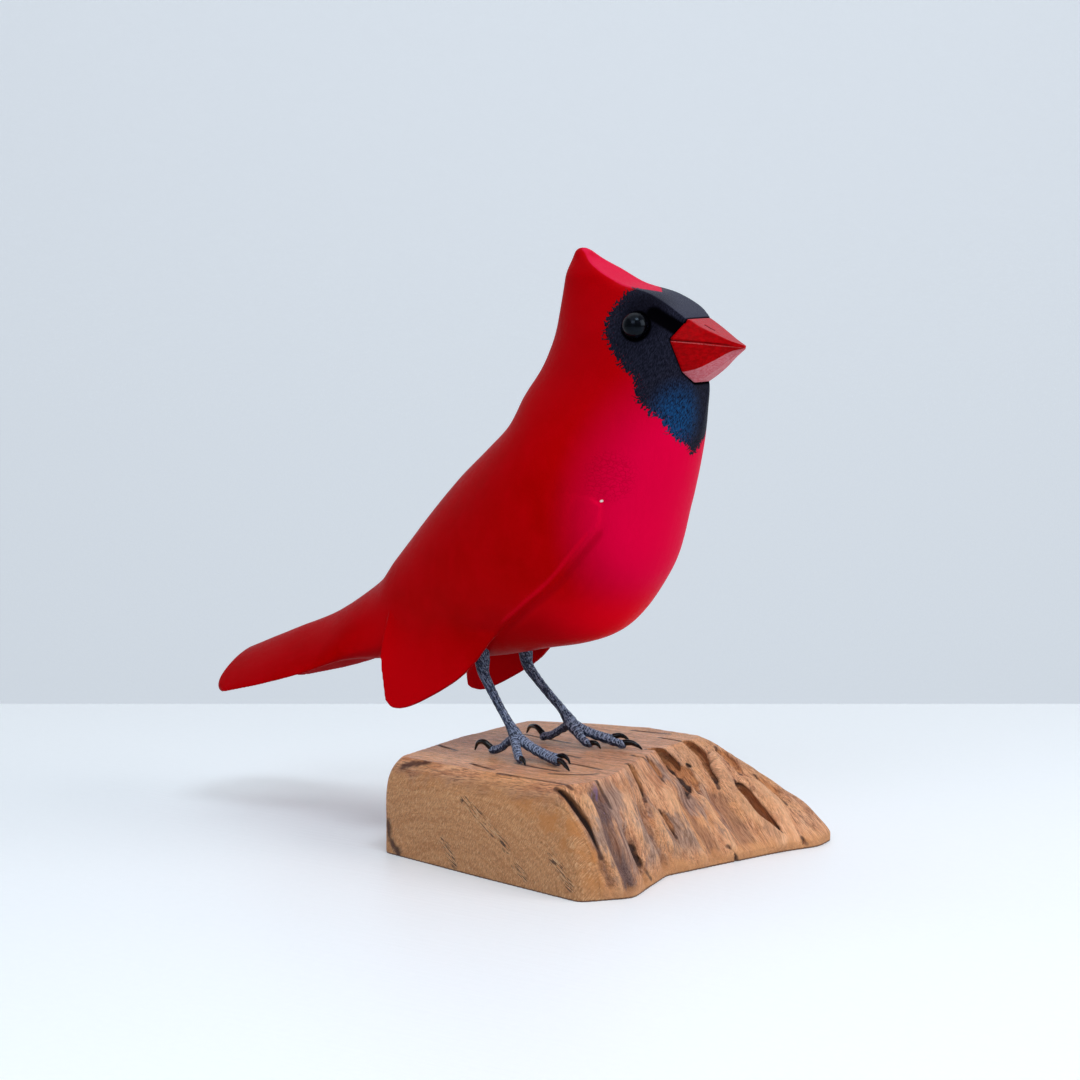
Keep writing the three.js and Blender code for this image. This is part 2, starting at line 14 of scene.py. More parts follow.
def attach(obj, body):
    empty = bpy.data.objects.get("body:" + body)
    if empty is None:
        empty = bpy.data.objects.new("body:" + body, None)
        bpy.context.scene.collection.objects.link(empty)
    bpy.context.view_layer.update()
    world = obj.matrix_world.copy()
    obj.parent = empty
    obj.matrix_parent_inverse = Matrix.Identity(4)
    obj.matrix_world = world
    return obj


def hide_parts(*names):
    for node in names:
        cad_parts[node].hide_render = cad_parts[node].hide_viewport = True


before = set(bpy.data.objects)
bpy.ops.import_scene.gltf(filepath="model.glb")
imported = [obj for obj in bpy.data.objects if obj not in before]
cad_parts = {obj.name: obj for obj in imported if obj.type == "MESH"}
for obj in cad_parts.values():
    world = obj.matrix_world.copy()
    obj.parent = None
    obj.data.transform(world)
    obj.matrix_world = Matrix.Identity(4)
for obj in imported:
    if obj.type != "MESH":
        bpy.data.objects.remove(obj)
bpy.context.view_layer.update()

MM = 0.001
TAU = 2 * math.pi

# Camera: where it stands, how far it looks to the left of +Y and how far down
CAMERA_AT = (473.7, -652.0, 186.5)
CAMERA_AZIMUTH = math.radians(36)
CAMERA_DOWN = math.radians(6.8)
LENS = 93.33
SENSOR = 36

forward = Vector((
    -math.sin(CAMERA_AZIMUTH) * math.cos(CAMERA_DOWN),
    math.cos(CAMERA_AZIMUTH) * math.cos(CAMERA_DOWN),
    -math.sin(CAMERA_DOWN),
))
camera = bpy.data.objects.new("photo_camera", bpy.data.cameras.new("photo_camera"))
bpy.context.scene.collection.objects.link(camera)
camera.location = Vector(CAMERA_AT) * MM
camera.rotation_mode = "QUATERNION"
camera.rotation_quaternion = forward.to_track_quat("-Z", "Y")
camera.data.lens = LENS
camera.data.sensor_width = SENSOR
camera.data.clip_start = 0.01
camera.data.clip_end = 50
bpy.context.scene.camera = camera


def through(rows, s):
    """A smooth curve through rows of numbers that are one step apart."""
    rows = np.asarray(rows, float)
    s = np.asarray(s, float)
    last = len(rows) - 1
    i = np.clip(np.floor(s).astype(int), 0, last - 1)
    f = (s - i)[..., None]
    b, c = rows[i], rows[i + 1]
    a = np.where((i > 0)[..., None], rows[np.maximum(i - 1, 0)], 2 * b - c)
    d = np.where((i + 2 <= last)[..., None], rows[np.minimum(i + 2, last)], 2 * c - b)
    bend = 2 * a - 5 * b + 4 * c - d
    twist = 3 * b - a - 3 * c + d
    return 0.5 * (2 * b + (c - a) * f + bend * f**2 + twist * f**3)


def smoothstep(x, low, high):
    t = np.clip((np.asarray(x, float) - low) / (high - low), 0, 1)
    return t * t * (3 - 2 * t)


def between(a, b, share):
    return a + (b - a) * share


def bell(x, half):
    """1 at 0, which falls softly to nearly none at twice the half width."""
    return np.exp(-((x / half) ** 2))


def unit(vectors):
    return vectors / np.linalg.norm(vectors, axis=-1, keepdims=True)


def tangents(line):
    return unit(np.gradient(line, axis=0))


def volume(points, faces):
    """Six times the volume of a mesh, which is below 0 where its faces look inward."""
    return sum(np.dot(points[face[0]], np.cross(points[i], points[j]))
               for face in faces for i, j in zip(face[1:], face[2:]))


def closed_loft(rings):
    """Points and faces of a closed body from rings with the same number of points."""
    rings = np.asarray(rings, float)
    count, around = rings.shape[:2]
    points = np.concatenate([rings.reshape(-1, 3), rings[:1].mean(1), rings[-1:].mean(1)])
    start, end = count * around, count * around + 1
    faces = []
    pairs = [(i, (i + 1) % around) for i in range(around)]
    for row in range(0, start - around, around):
        faces += [(row + i, row + j, row + around + j, row + around + i) for i, j in pairs]
    for i, j in pairs:
        faces += [(j, i, start), (start - around + i, start - around + j, end)]
    if volume(points, faces) < 0:
        faces = [face[::-1] for face in faces]
    return points, faces


def joined(parts):
    points, faces, start = [], [], 0
    for part_points, part_faces in parts:
        points.append(part_points)
        faces.extend(tuple(v + start for v in face) for face in part_faces)
        start += len(part_points)
    return np.concatenate(points), faces


def mesh_object(name, points, faces):
    mesh = bpy.data.meshes.new(name)
    mesh.from_pydata(np.asarray(points).tolist(), [], faces)
    mesh.validate()
    mesh.update()
    obj = bpy.data.objects.new(name, mesh)
    bpy.context.scene.collection.objects.link(obj)
    return obj


def modify(obj, kind, **settings):
    """Applies a modifier to the object's mesh."""
    modifier = obj.modifiers.new("shape", kind)
    for key, value in settings.items():
        setattr(modifier, key, value)
    graph = bpy.context.evaluated_depsgraph_get()
    made = bpy.data.meshes.new_from_object(obj.evaluated_get(graph))
    old = obj.data
    obj.modifiers.clear()
    obj.data = made
    bpy.data.meshes.remove(old)


def remesh(obj, voxel):
    modify(obj, "REMESH", mode="VOXEL", voxel_size=voxel)


def numbers_of(data, name):
    values = np.empty(len(data) * 3)
    data.foreach_get(name, values)
    return values.reshape(-1, 3)


def points_of(obj):
    return numbers_of(obj.data.vertices, "co")


def normals_of(obj):
    return numbers_of(obj.data.vertex_normals, "vector")


def put_points(obj, points):
    obj.data.vertices.foreach_set("co", np.asarray(points).ravel())
    obj.data.update()


def relax(obj, rounds, keep=0.53, weight=1.0):
    """Smooths a mesh, without shrinking it unless keep is 0. weight is its share at each point."""
    edges = np.empty(len(obj.data.edges) * 2, int)
    obj.data.edges.foreach_get("vertices", edges)
    a, b = edges.reshape(-1, 2).T
    points = points_of(obj)
    degree = np.bincount(a, minlength=len(points)) + np.bincount(b, minlength=len(points))
    for _ in range(rounds):
        for share in (0.5, -keep):
            total = np.empty_like(points)
            for axis in range(3):
                total[:, axis] = (np.bincount(a, points[b, axis], len(points))
                                  + np.bincount(b, points[a, axis], len(points)))
            points = points + weight * share * (total / degree[:, None] - points)
    put_points(obj, points)


def wobble(points, size, seed, stretch=(1, 1, 1)):
    """Smooth noise from -1 to 1 with lumps of about that size, in mm."""
    shift = Vector((seed * 17.3, seed * 5.1, seed * 9.7))
    scaled = np.asarray(points) / (size * np.asarray(stretch, float))
    return np.array([noise.noise(Vector(p) + shift) for p in scaled])


def store(obj, **layers):
    """Keeps numbers or vectors for each point of a mesh, which its material reads."""
    for name, values in layers.items():
        values = np.asarray(values, float)
        flat = values.ndim == 1
        layer = obj.data.attributes.new(name, "FLOAT" if flat else "FLOAT_VECTOR", "POINT")
        layer.data.foreach_set("value" if flat else "vector", values.ravel())


def near_line(points, line, step=0.25):
    """How far each point is from a line of corners, its place along it, and the nearest point."""
    line = np.asarray(line, float)
    parts, along, start = [], [], 0.0
    for p, q in zip(line[:-1], line[1:]):
        length = np.linalg.norm(q - p)
        count = max(2, int(length / step))
        t = np.linspace(0, 1, count, endpoint=False)[:, None]
        parts.append(between(p, q, t))
        along.append(start + length * t[:, 0])
        start += length
    parts.append(line[-1:])
    along.append([start])
    samples, along = np.concatenate(parts), np.concatenate(along)
    best = np.full(len(points), 1e9)
    where = np.zeros(len(points), int)
    for k, sample in enumerate(samples):
        gap = ((points - sample) ** 2).sum(1)
        closer = gap < best
        best[closer] = gap[closer]
        where[closer] = k
    return np.sqrt(best), along[where], samples[where]


def near_where(here, points, line, most, step=0.25):
    """How far off and how far along a line the points are, and most and 0 where here is false."""
    gap, along = np.full(len(points), most), np.zeros(len(points))
    gap[here], along[here], _ = near_line(points[here], line, step)
    return gap, along


def onto_right(points):
    """The points, with those on the bird's left moved to their mirror places."""
    return np.stack([points[:, 0], -np.abs(points[:, 1]), points[:, 2]], 1)


def smooth_line(points, count):
    return through(points, np.linspace(0, len(points) - 1, count))


# Rings that round off a tube's end: how far out and how wide, in shares of the radius there
TUBE_END = [(0.45, 0.88), (0.8, 0.6), (0.95, 0.3)]
SIDEWAYS = np.array([0.0, 1.0, 0.0])


def tube(points, sides, steps, wide=1.0):
    """A closed round limb through points of x, y, z and radius, stretched sideways by wide."""
    line = smooth_line(points, steps)
    centre, radius = line[:, :3], line[:, 3]
    way = tangents(centre)
    rings = []
    for away, size in TUBE_END[::-1]:
        rings.append((centre[0] - away * radius[0] * way[0], size * radius[0], way[0]))
    rings += zip(centre, radius, way)
    for away, size in TUBE_END:
        rings.append((centre[-1] + away * radius[-1] * way[-1], size * radius[-1], way[-1]))
    turn = np.arange(sides)[:, None] * TAU / sides
    made = []
    for middle, size, along in rings:
        side = unit(SIDEWAYS - along * np.dot(SIDEWAYS, along))
        up = np.cross(along, side)
        made.append(middle + size * (wide * np.cos(turn) * side + np.sin(turn) * up))
    return closed_loft(made)


class Graph:
    """A material and short ways to add nodes to it."""

    def __init__(self, name):
        self.material = bpy.data.materials.new(name)
        self.material.use_nodes = True
        self.tree = self.material.node_tree
        self.shader = self.tree.nodes["Principled BSDF"]
        place = self.tree.nodes.new("ShaderNodeTexCoord").outputs["Object"]
        self.place = self.vector("SCALE", place, scale=1 / MM)

    def put(self, socket, value):
        if isinstance(value, bpy.types.NodeSocket):
            self.tree.links.new(value, socket)
        elif socket.type == "RGBA":
            socket.default_value = (*value, 1.0)
        else:
            socket.default_value = value

    def make(self, kind, inputs, out=0, **settings):
        node = self.tree.nodes.new("ShaderNode" + kind)
        for key, value in settings.items():
            setattr(node, key, value)
        for key, value in inputs.items():
            self.put(node.inputs[key], value)
        return node.outputs[out]

    def vector(self, operation, a, b=(0, 0, 0), scale=1.0):
        if operation == "SCALE":
            return self.make("VectorMath", {0: a, "Scale": scale}, operation=operation)
        out = "Value" if operation in ("DISTANCE", "DOT_PRODUCT") else 0
        return self.make("VectorMath", {0: a, 1: b}, out, operation=operation)

    def dot(self, a, b):
        return self.vector("DOT_PRODUCT", a, b)

    def math(self, operation, a, b=0.0):
        return self.make("Math", {0: a, 1: b}, operation=operation)

    def times(self, a, *others):
        for b in others:
            a = self.math("MULTIPLY", a, b)
        return a

    def plus(self, a, b, share=1.0):
        """The sum of a value and a share of another one."""
        return self.make("Math", {0: b, 1: share, 2: a}, operation="MULTIPLY_ADD")

    def noise(self, place, scale, detail=3.0, rough=0.5, bend=0.0):
        """Noise from 0 to 1, with one scale or one for each axis."""
        if isinstance(scale, tuple):
            place, scale = self.vector("MULTIPLY", place, scale), 1.0
        return self.make("TexNoise", {
            "Vector": place, "Scale": scale, "Detail": detail, "Roughness": rough, "Distortion": bend,
        })

    def turned(self, *rows):
        """The place along other axes, with one row for each."""
        parts = {k: self.dot(self.place, row) for k, row in enumerate(rows)}
        return self.make("CombineXYZ", parts)

    def gap(self, centre, stretch=(1, 1, 1)):
        """Distance to a point, with the axes stretched."""
        middle = tuple(c * s for c, s in zip(centre, stretch))
        return self.vector("DISTANCE", self.vector("MULTIPLY", self.place, stretch), middle)

    def span(self, value, low, high, to_low=0.0, to_high=1.0):
        """A soft step from to_low to to_high, where a value goes from low to high."""
        return self.make("MapRange", {
            "Value": value, "From Min": low, "From Max": high, "To Min": to_low, "To Max": to_high,
        }, interpolation_type="SMOOTHSTEP")

    def mix(self, share, a, b):
        return self.make("Mix", {0: share, 6: a, 7: b}, 2, data_type="RGBA")

    def blend(self, share, a, b):
        return self.make("Mix", {0: share, 2: a, 3: b}, 0, data_type="FLOAT")

    def tones(self, value, low, high, a, b):
        """From tint a to tint b, where a value goes from low to high."""
        return self.mix(self.span(value, low, high), a, b)

    def lay(self, base, tint, *shares):
        """Lays a tint over a base, by the product of the shares."""
        return self.mix(self.times(*shares), base, tint)

    def layers(self, base, *rows):
        """Lays tints over a base, each where a value goes from low to high, by most and other shares."""
        for value, low, high, most, tint, *shares in rows:
            base = self.lay(base, tint, self.span(value, low, high, 0, most), *shares)
        return base

    def read(self, name, out="Fac"):
        return self.make("Attribute", {}, out, attribute_name=name)

    def bump(self, height, depth, normal=None):
        """Bump of a height from 0 to 1 that stands for depth in mm."""
        inputs = {"Height": height, "Strength": 1.0, "Distance": depth * MM}
        if normal is not None:
            inputs["Normal"] = normal
        return self.make("Bump", inputs)

    def done(self, base, rough, **others):
        """Fills the shader's sockets and gives the material."""
        for key, value in {"Base Color": base, "Roughness": rough, **others}.items():
            self.put(self.shader.inputs[key.replace("_", " ")], value)
        return self.material


# Sections from the tail to the crest: back x, z, front x, z, half width, half width of the flat
# planed on the front, squareness of the back and of the front, taper and droop
SECTIONS = [
    [-111.2, 49.3, -110.2, 45.8, 20, 0, 2.2, 2.2, 0, 10.5],
    [-92, 57, -90.5, 51.5, 19.8, 0, 2.1, 2.1, 0, 12],
    [-75, 63.8, -71.5, 54.5, 18, 0, 2, 2, 0, 10.5],
    [-57, 74.8, -53, 52, 16, 0, 2, 2.2, 0, 4.5],
    [-47.4, 84.2, -27, 53.3, 19, 0, 2, 2, 0, 0],
    [-34.5, 98.3, 2, 58.8, 24, 0, 2, 2, 0, 0],
    [-23.3, 109.6, 26.5, 65.8, 27, 0, 2, 2, 0, 0],
    [-12.9, 118.3, 40.9, 82.6, 28, 0, 2, 2, 0, 0],
    [-5.5, 125.2, 47.6, 101.7, 26, 0, 2, 2, 0, 0],
    [-1.7, 133.3, 52.6, 119, 21.5, 1.5, 2, 2, 0.05, 0],
    [2.9, 140.8, 54.6, 132.4, 17, 3.6, 2, 2, 0.1, 0],
    [5.9, 147.3, 55.6, 141.4, 15.2, 3.7, 2, 1.8, 0.12, 0],
    [7.3, 151.9, 55.4, 151.2, 14, 4.8, 2, 1.8, 0.12, 0],
    [8.5, 156.9, 52.9, 156.9, 11.6, 6.5, 2.2, 2.2, 0.1, 0],
    [9.5, 162.3, 43.3, 162.3, 9, 6.5, 2.3, 2.6, 0.08, 0],
    [11, 168.6, 31.3, 165.6, 7.6, 6.1, 2.4, 2.6, 0.05, 0],
    [14.2, 176.9, 20.3, 171.2, 8, 7, 2.4, 2.4, 0, 0],
]
AROUND = 288
TAIL_NOTCH = 5.0
TAIL_CORNER = 6.6
TAIL_ROUND = 1.7
CREST_START = 15.6
TAIL_JOIN = 3.0


def section_at(s):
    """Middle, reach, half width, planed share, squareness, taper and droop of the body at s."""
    row = through(SECTIONS, s)
    half, square_back, square_front = row[..., 4], row[..., 6], row[..., 7]
    flat = np.clip(row[..., 5] / half, 0, 0.97)
    planed = (1 - flat**square_front) ** (1 / square_front)
    reach = (row[..., 0:2] - row[..., 2:4]) / (1 + planed)[..., None]
    middle = row[..., 0:2] - reach
    return middle, reach, half, planed, square_back, square_front, row[..., 8], row[..., 9]


def body_rings(s, thin=1.0, narrow=1.0, push=0.0):
    """Rings of the body at s. thin and narrow scale them, and push moves them along the body."""
    s = np.atleast_1d(np.asarray(s, float))
    middle, reach, half, planed, square_back, square_front, taper, droop = section_at(s)
    length = np.linalg.norm(reach, axis=1)[:, None]
    rise = reach / length
    away = np.stack([-rise[:, 1], rise[:, 0]], 1)
    turn = np.arange(AROUND) * TAU / AROUND
    sin, cos = np.sin(turn)[None], np.cos(turn)[None]
    power = np.where(sin >= 0, 2 / square_back[:, None], 2 / square_front[:, None])
    up = np.sign(sin) * np.abs(sin) ** power
    up = np.maximum(up, -planed[:, None])
    side = np.sign(cos) * np.abs(cos) ** power
    q = np.abs(side)
    tail = np.maximum(0, 1 - s)[:, None]
    corner = tail * (TAIL_NOTCH * q**2 - TAIL_CORNER * q**8) + push
    hang = droop[:, None] * q**1.6
    x = middle[:, :1] + reach[:, :1] * up * thin + away[:, :1] * corner - rise[:, :1] * hang
    z = middle[:, 1:] + reach[:, 1:] * up * thin + away[:, 1:] * corner - rise[:, 1:] * hang
    y = half[:, None] * narrow * side * (1 - taper[:, None] * up)
    return np.stack([x, y, z], 2)


def side_at(x, z):
    """Half width of the body at points of the side view, or 0 outside it."""
    low = np.full(np.shape(x), TAIL_JOIN)
    high = np.full(np.shape(x), CREST_START)
    for _ in range(40):
        half_way = (low + high) / 2
        middle, reach, *_ = section_at(half_way)
        beside = (x - middle[..., 0]) * reach[..., 1] - (z - middle[..., 1]) * reach[..., 0]
        low = np.where(beside > 0, half_way, low)
        high = np.where(beside > 0, high, half_way)
    middle, reach, half, _, square_back, square_front, taper, _ = section_at(low)
    along = (x - middle[..., 0]) * reach[..., 0] + (z - middle[..., 1]) * reach[..., 1]
    up = np.clip(along / (reach**2).sum(-1), -1, 1)
    power = np.where(up >= 0, square_back, square_front)
    return half * (1 - np.abs(up) ** power) ** (1 / power) * (1 - taper * up)


# Lines across the wing in side view, from its upper edge to its lower one, with the half span
# that its outer face has at least at those edges: x, z, x, z, span, span
WING_LINES = [
    [31.5, 108.5, 36.3, 104.5, 0, 0],
    [20, 113, 35, 98.5, 0, 0],
    [8, 113, 30, 91.5, 0, 0],
    [-3, 108, 21.5, 82, 2, 6],
    [-13, 100.5, 10, 73.3, 5, 14],
    [-23, 92, -2.5, 64.5, 9, 18],
    [-31.5, 83.5, -12, 53.5, 12, 19.5],
    [-38, 75, -21.8, 46.6, 15, 19.5],
]
# The last lines, which differ a little from wing to wing
WING_TIPS = {
    1: [[-40.9, 66.5, -32.8, 41, 17.5, 19.4], [-41.6, 57.5, -37.9, 40.3, 19, 19.3],
        [-41.2, 52, -40.6, 41.2, 19.3, 19.3]],
    -1: [[-42, 66.5, -32.8, 41, 17.5, 19.4], [-44, 57.5, -39.2, 39.7, 19, 19.3],
         [-44, 52, -42.4, 41.7, 19.3, 19.3]],
}
WING_RELIEF = 0.75
WING_FLANK = 0.45
WING_SINK = 0.9
WING_THICK = 3.2
WING_EDGE = 1.6
WING_TUCK = 4.0
WING_BLEND = 2.0


def wing(side, rows=200, across=70):
    lines = WING_LINES + WING_TIPS[side]
    last = len(lines) - 1
    s = np.linspace(0, last, rows)
    line = through(lines, s)
    v = np.linspace(0, 1, across)[None]
    x = between(line[:, 0:1], line[:, 2:3], v)
    z = between(line[:, 1:2], line[:, 3:4], v)
    span = between(line[:, 4:5], line[:, 5:6], smoothstep(v, 0.1, 0.6))
    body = np.maximum(side_at(x, z), span - WING_TUCK)
    relief = between(WING_FLANK, WING_RELIEF, smoothstep(3.0 - s, 0, 2.5))[:, None]
    proud = body + (relief + WING_SINK) * smoothstep(v, -0.25, 0.95) - WING_SINK
    lift = proud - span
    y = proud + (np.hypot(lift, WING_BLEND) - lift) / 2
    edge = (np.sin(math.pi * v) * np.sin(math.pi * s[:, None] / last)) ** 0.6
    thick = between(WING_EDGE, WING_THICK, edge)
    outer = np.stack([x, side * y, z], 2)
    inner = np.stack([x, side * (y - thick), z], 2)[:, ::-1]
    return closed_loft(np.concatenate([outer, inner], 1))


# Quarter turns at which the rings stand that round off the tail's end and the crest's tip
TAIL_TURNS = (0.97, 0.9, 0.8, 0.65, 0.5, 0.35, 0.2, 0.1)
CREST_TURNS = (0.08, 0.16, 0.24, 0.32, 0.4, 0.5, 0.6, 0.7, 0.8, 0.88, 0.94, 0.98)
TAIL_NARROW = 0.06
BODY_RINGS = 460


def body():
    rings = []
    for turn in TAIL_TURNS:
        sin, cos = math.sin(turn * math.pi / 2), math.cos(turn * math.pi / 2)
        rings.append(body_rings(0, cos, 1 - TAIL_NARROW * sin, TAIL_ROUND * sin))
    rings.append(body_rings(np.linspace(0, CREST_START, BODY_RINGS)))
    left = len(SECTIONS) - 1 - CREST_START
    for turn in CREST_TURNS:
        sin, cos = math.sin(turn * math.pi / 2), math.cos(turn * math.pi / 2)
        rings.append(body_rings(CREST_START + left * sin, cos, cos))
    return closed_loft(np.concatenate(rings))


SKIN_VOXEL = 0.38
skin = mesh_object("carved_body", *joined([body(), wing(1), wing(-1)]))
remesh(skin, SKIN_VOXEL)
relax(skin, 4)

# Heights between which the crest is narrowed, smoothed and rounded off at its tip
CREST_NARROW = (166.5, 173.5)
CREST_SMOOTH = (163.0, 169.0)
CREST_ROUND = (169.0, 173.0)
at = points_of(skin)
high = at[:, 2:]
at[:, 1:2] *= 1 - 0.5 * smoothstep(high, *CREST_NARROW)
put_points(skin, at)
relax(skin, 30, weight=smoothstep(high, *CREST_SMOOTH))
relax(skin, 16, 0, smoothstep(high, *CREST_ROUND))

# The knife's marks: broad soft hollows all over
at = points_of(skin)
out = normals_of(skin)
at += out * (0.10 * wobble(at, 13, 1) + 0.03 * wobble(at, 4, 2))[:, None]

# A groove follows the front and lower edge of the wing, with a soft ridge inside it: how far
# each lies beyond the edge, its half width and its height
WING_EDGES = {"wing_groove": (1.3, 1.2, -0.22), "wing_ridge": (-1.3, 0.9, 0.22)}
FAR = 9.0
for name, (shift, half, rise) in WING_EDGES.items():
    gaps = np.full(len(at), FAR)
    for side in (1, -1):
        lines = through(WING_LINES + WING_TIPS[side], np.linspace(0.2, 8.6, 60))
        upper, lower = lines[:, 0:2], lines[:, 2:4]
        way = tangents(lower)
        beyond = np.stack([-way[:, 1], way[:, 0]], 1)
        beyond *= np.sign(((lower - upper) * beyond).sum(1))[:, None]
        x, z = (lower + beyond * shift).T
        edge = np.stack([x, side * np.maximum(side_at(x, z), 1.0), z], 1)
        here = (at[:, 1] * side > 2) & (at[:, 2] > 36) & (at[:, 2] < 118) & (at[:, 0] > -44)
        gap, along, _ = near_line(at[here], edge, 0.8)
        ends = smoothstep(along, 0, 8) * (1 - smoothstep(along, 45, 80))
        at[here] += out[here] * (rise * ends * bell(gap, half))[:, None]
        gaps[here] = np.minimum(FAR, gap + 4 * (1 - ends))
    store(skin, **{name: gaps})

# The eye sits in a shallow ring
EYE_AT = np.array([41.7, 0, 153.9])
EYE_RADIUS = 3.7
EYE_PROUD = 0.3
eye_out = float(side_at(EYE_AT[:1], EYE_AT[2:])[0]) + EYE_PROUD
far = np.linalg.norm(onto_right(at) - [EYE_AT[0], -eye_out, EYE_AT[2]], axis=1)
at -= out * (0.6 * bell(far - EYE_RADIUS, 0.7))[:, None]

# A hollow runs from the eye to the bill, below the edge of the planed forehead
HOLLOW = [[45.8, -10.3, 157.4], [48.0, -10.1, 156.3], [50.3, -9.6, 155.0], [52.6, -8.2, 153.4]]
folded = onto_right(at)
hollow, _ = near_where(np.linalg.norm(folded - HOLLOW[1], axis=1) < 14, folded, HOLLOW, FAR)
at -= out * bell(hollow, 1.8)[:, None]

# The face is cut back to the root of the bill, with a narrow gap round it
BILL_TIP = np.array([69.2, 0, 148.3])
BILL_BACK = 48.0
# Corners of the bill: at the root x, half width and z, then the shares of the half width and of
# the height that are left at even steps to the tip
BILL_CORNERS = [
    ([54.8, 5.4, 155.7], [1, 0.95, 0.68, 0.41, 0.06], [1, 0.72, 0.48, 0.24, 0.06]),
    ([50.9, 8.7, 150.1], [1, 0.84, 0.61, 0.33, 0.06], [1, 0.84, 0.61, 0.33, 0.06]),
    ([53.4, 6.2, 141.3], [1, 0.85, 0.54, 0.19, 0.05], [1, 0.85, 0.54, 0.19, 0.05]),
    ([55.6, 3.6, 138.3], [1, 0.8, 0.57, 0.3, 0.06], [1, 0.8, 0.57, 0.3, 0.06]),
]
BILL_BED = 3.0
near_bill = np.linalg.norm(at - [53.0, 0, 147.0], axis=1) < 20
corners = np.array([root for root, _, _ in BILL_CORNERS])
root_line = np.concatenate([corners, corners[::-1] * [1, -1, 1], corners[:1]])
gap, _, nearest = near_line(at[near_bill], root_line, 0.15)
proud = ((at[near_bill] - nearest) * out[near_bill]).sum(1)
beside = np.sqrt(np.maximum(gap**2 - proud**2, 0))
cut_back = np.maximum(proud + 0.15, 0) * bell(beside, BILL_BED) + 0.5 * bell(beside, 0.55)
at[near_bill] -= out[near_bill] * cut_back[:, None]
root_gap = np.full(len(at), FAR)
root_gap[near_bill] = beside
store(skin, hollow=hollow, root_gap=root_gap)
put_points(skin, at)

# Outline of the black mask on the right side, from the top of the head to the bib's tip
MASK = [
    [42, 0, 164.2], [39.4, -3.4, 164.6], [37, -6.6, 164.5], [34.8, -9.7, 161.8], [33, -11, 159],
    [31.9, -11.8, 156.8], [31.9, -13.4, 153], [32.4, -14, 150.3], [34.3, -14.3, 148.1],
    [36.4, -14.9, 144.6], [39.2, -15.1, 142.3], [42.4, -15, 139.3], [43.7, -15.3, 133.9],
    [46.9, -13.7, 129.8], [49.4, -11.4, 127.9], [50.6, -9.3, 124.2], [52, -4.3, 121.2], [52.8, 0, 117.8],
]
BROW_HEIGHT = 158.5
at = points_of(skin)
face = (at[:, 2] > 105) & (at[:, 0] > 15)
gap, along = near_where(face, onto_right(at), MASK, 12.0)
front = through(SECTIONS, np.linspace(8, 16, 400))[:, 2:4]


def set_back(points):
    """How far points lie behind the front of the body, along x and y together."""
    return np.interp(points[:, 2], front[:, 1], front[:, 0]) - points[:, 0] + np.abs(points[:, 1])


mask_side = np.array([row for row in MASK if row[2] < BROW_HEIGHT + 1])[::-1]
behind = np.interp(at[:, 2], mask_side[:, 2], set_back(mask_side)) - set_back(at)
above = at[:, 0] - (42 - 0.76 * np.abs(at[:, 1]))
inside = np.where(at[:, 2] > BROW_HEIGHT, above, behind) > 0
inside &= (at[:, 2] > 117) & face
store(skin, mask=np.clip(np.where(inside, gap, -gap), -FAR, FAR), mask_along=along)

# Bill: its nick, and how fine its mesh is
NICK = [[57.6, -2.0, 154.1], [58.9, -1.6, 153.5], [60.2, -1.5, 152.8]]
BILL_PER_EDGE = 26
BILL_RINGS = 130


def bill_corners_at(t):
    """The four corners on the left side of the bill, from 0 at its root to 1 at its tip."""
    made = []
    for root, wide, high in BILL_CORNERS:
        share = np.stack([wide, high], 1)
        width, height = through(share, np.array(max(t, 0.0) * (len(wide) - 1)))
        x = between(root[0], BILL_TIP[0], t)
        if t < 0:
            x = root[0] + (root[0] - BILL_BACK) * t * 4
        made.append([x, root[1] * width, BILL_TIP[2] + (root[2] - BILL_TIP[2]) * height])
    return np.array(made)


def bill():
    rings = []
    shares = np.linspace(-0.25, 1, BILL_RINGS)
    for t in shares:
        left = bill_corners_at(t)
        loop = np.concatenate([left, left[::-1] * [1, -1, 1]])
        f = np.linspace(0, 1, BILL_PER_EDGE, endpoint=False)[:, None]
        rings.append(np.concatenate([between(a, b, f) for a, b in zip(loop, np.roll(loop, -1, 0))]))
    rings = np.array(rings)
    for _ in range(2):
        rings = (np.roll(rings, 1, 1) + 2 * rings + np.roll(rings, -1, 1)) / 4
    # The mouth is a fine cut along the corner of the gape
    for ring, t in zip(rings, shares):
        depth = 0.55 * smoothstep(0.88 - t, 0, 0.3) * (t > -0.1)
        for gape in (BILL_PER_EDGE, BILL_PER_EDGE * 6):
            gap = np.linalg.norm(ring - ring[gape], axis=1)
            ring[:, 1] -= np.sign(ring[gape, 1]) * depth * np.clip(1 - gap / 0.36, 0, 1)
    return closed_loft(rings)


def on_bill(edges):
    """One value for each facet, from the left upper one round to the right, for each point."""
    return np.append(np.tile(np.repeat(edges, BILL_PER_EDGE), BILL_RINGS), edges[:1] * 2)


bill_points, bill_faces = bill()
nick, _, _ = near_line(bill_points, NICK, 0.1)
inward = unit(np.array([54, 0, 147.5]) - bill_points)
bill_points = bill_points + inward * (0.4 * np.clip(1 - nick / 0.6, 0, 1))[:, None]
bill_piece = mesh_object("carved_bill", bill_points, bill_faces)
gape_line = [bill_corners_at(t)[1] for t in np.linspace(0, 1, 12)]
mouth, mouth_along, _ = near_line(np.abs(bill_points), gape_line, 0.1)
mouth = mouth * on_bill([1, -1, -1, -1, -1, -1, 1, 1])
# The facets underneath, and a little the top one, are marked for a pale painted reflection
pale = on_bill([0.0, 0.0, 1.0, 1.0, 1.0, 0.0, 0.0, 0.3])
store(bill_piece, pale=pale, mouth=mouth, mouth_along=mouth_along, nick=nick)

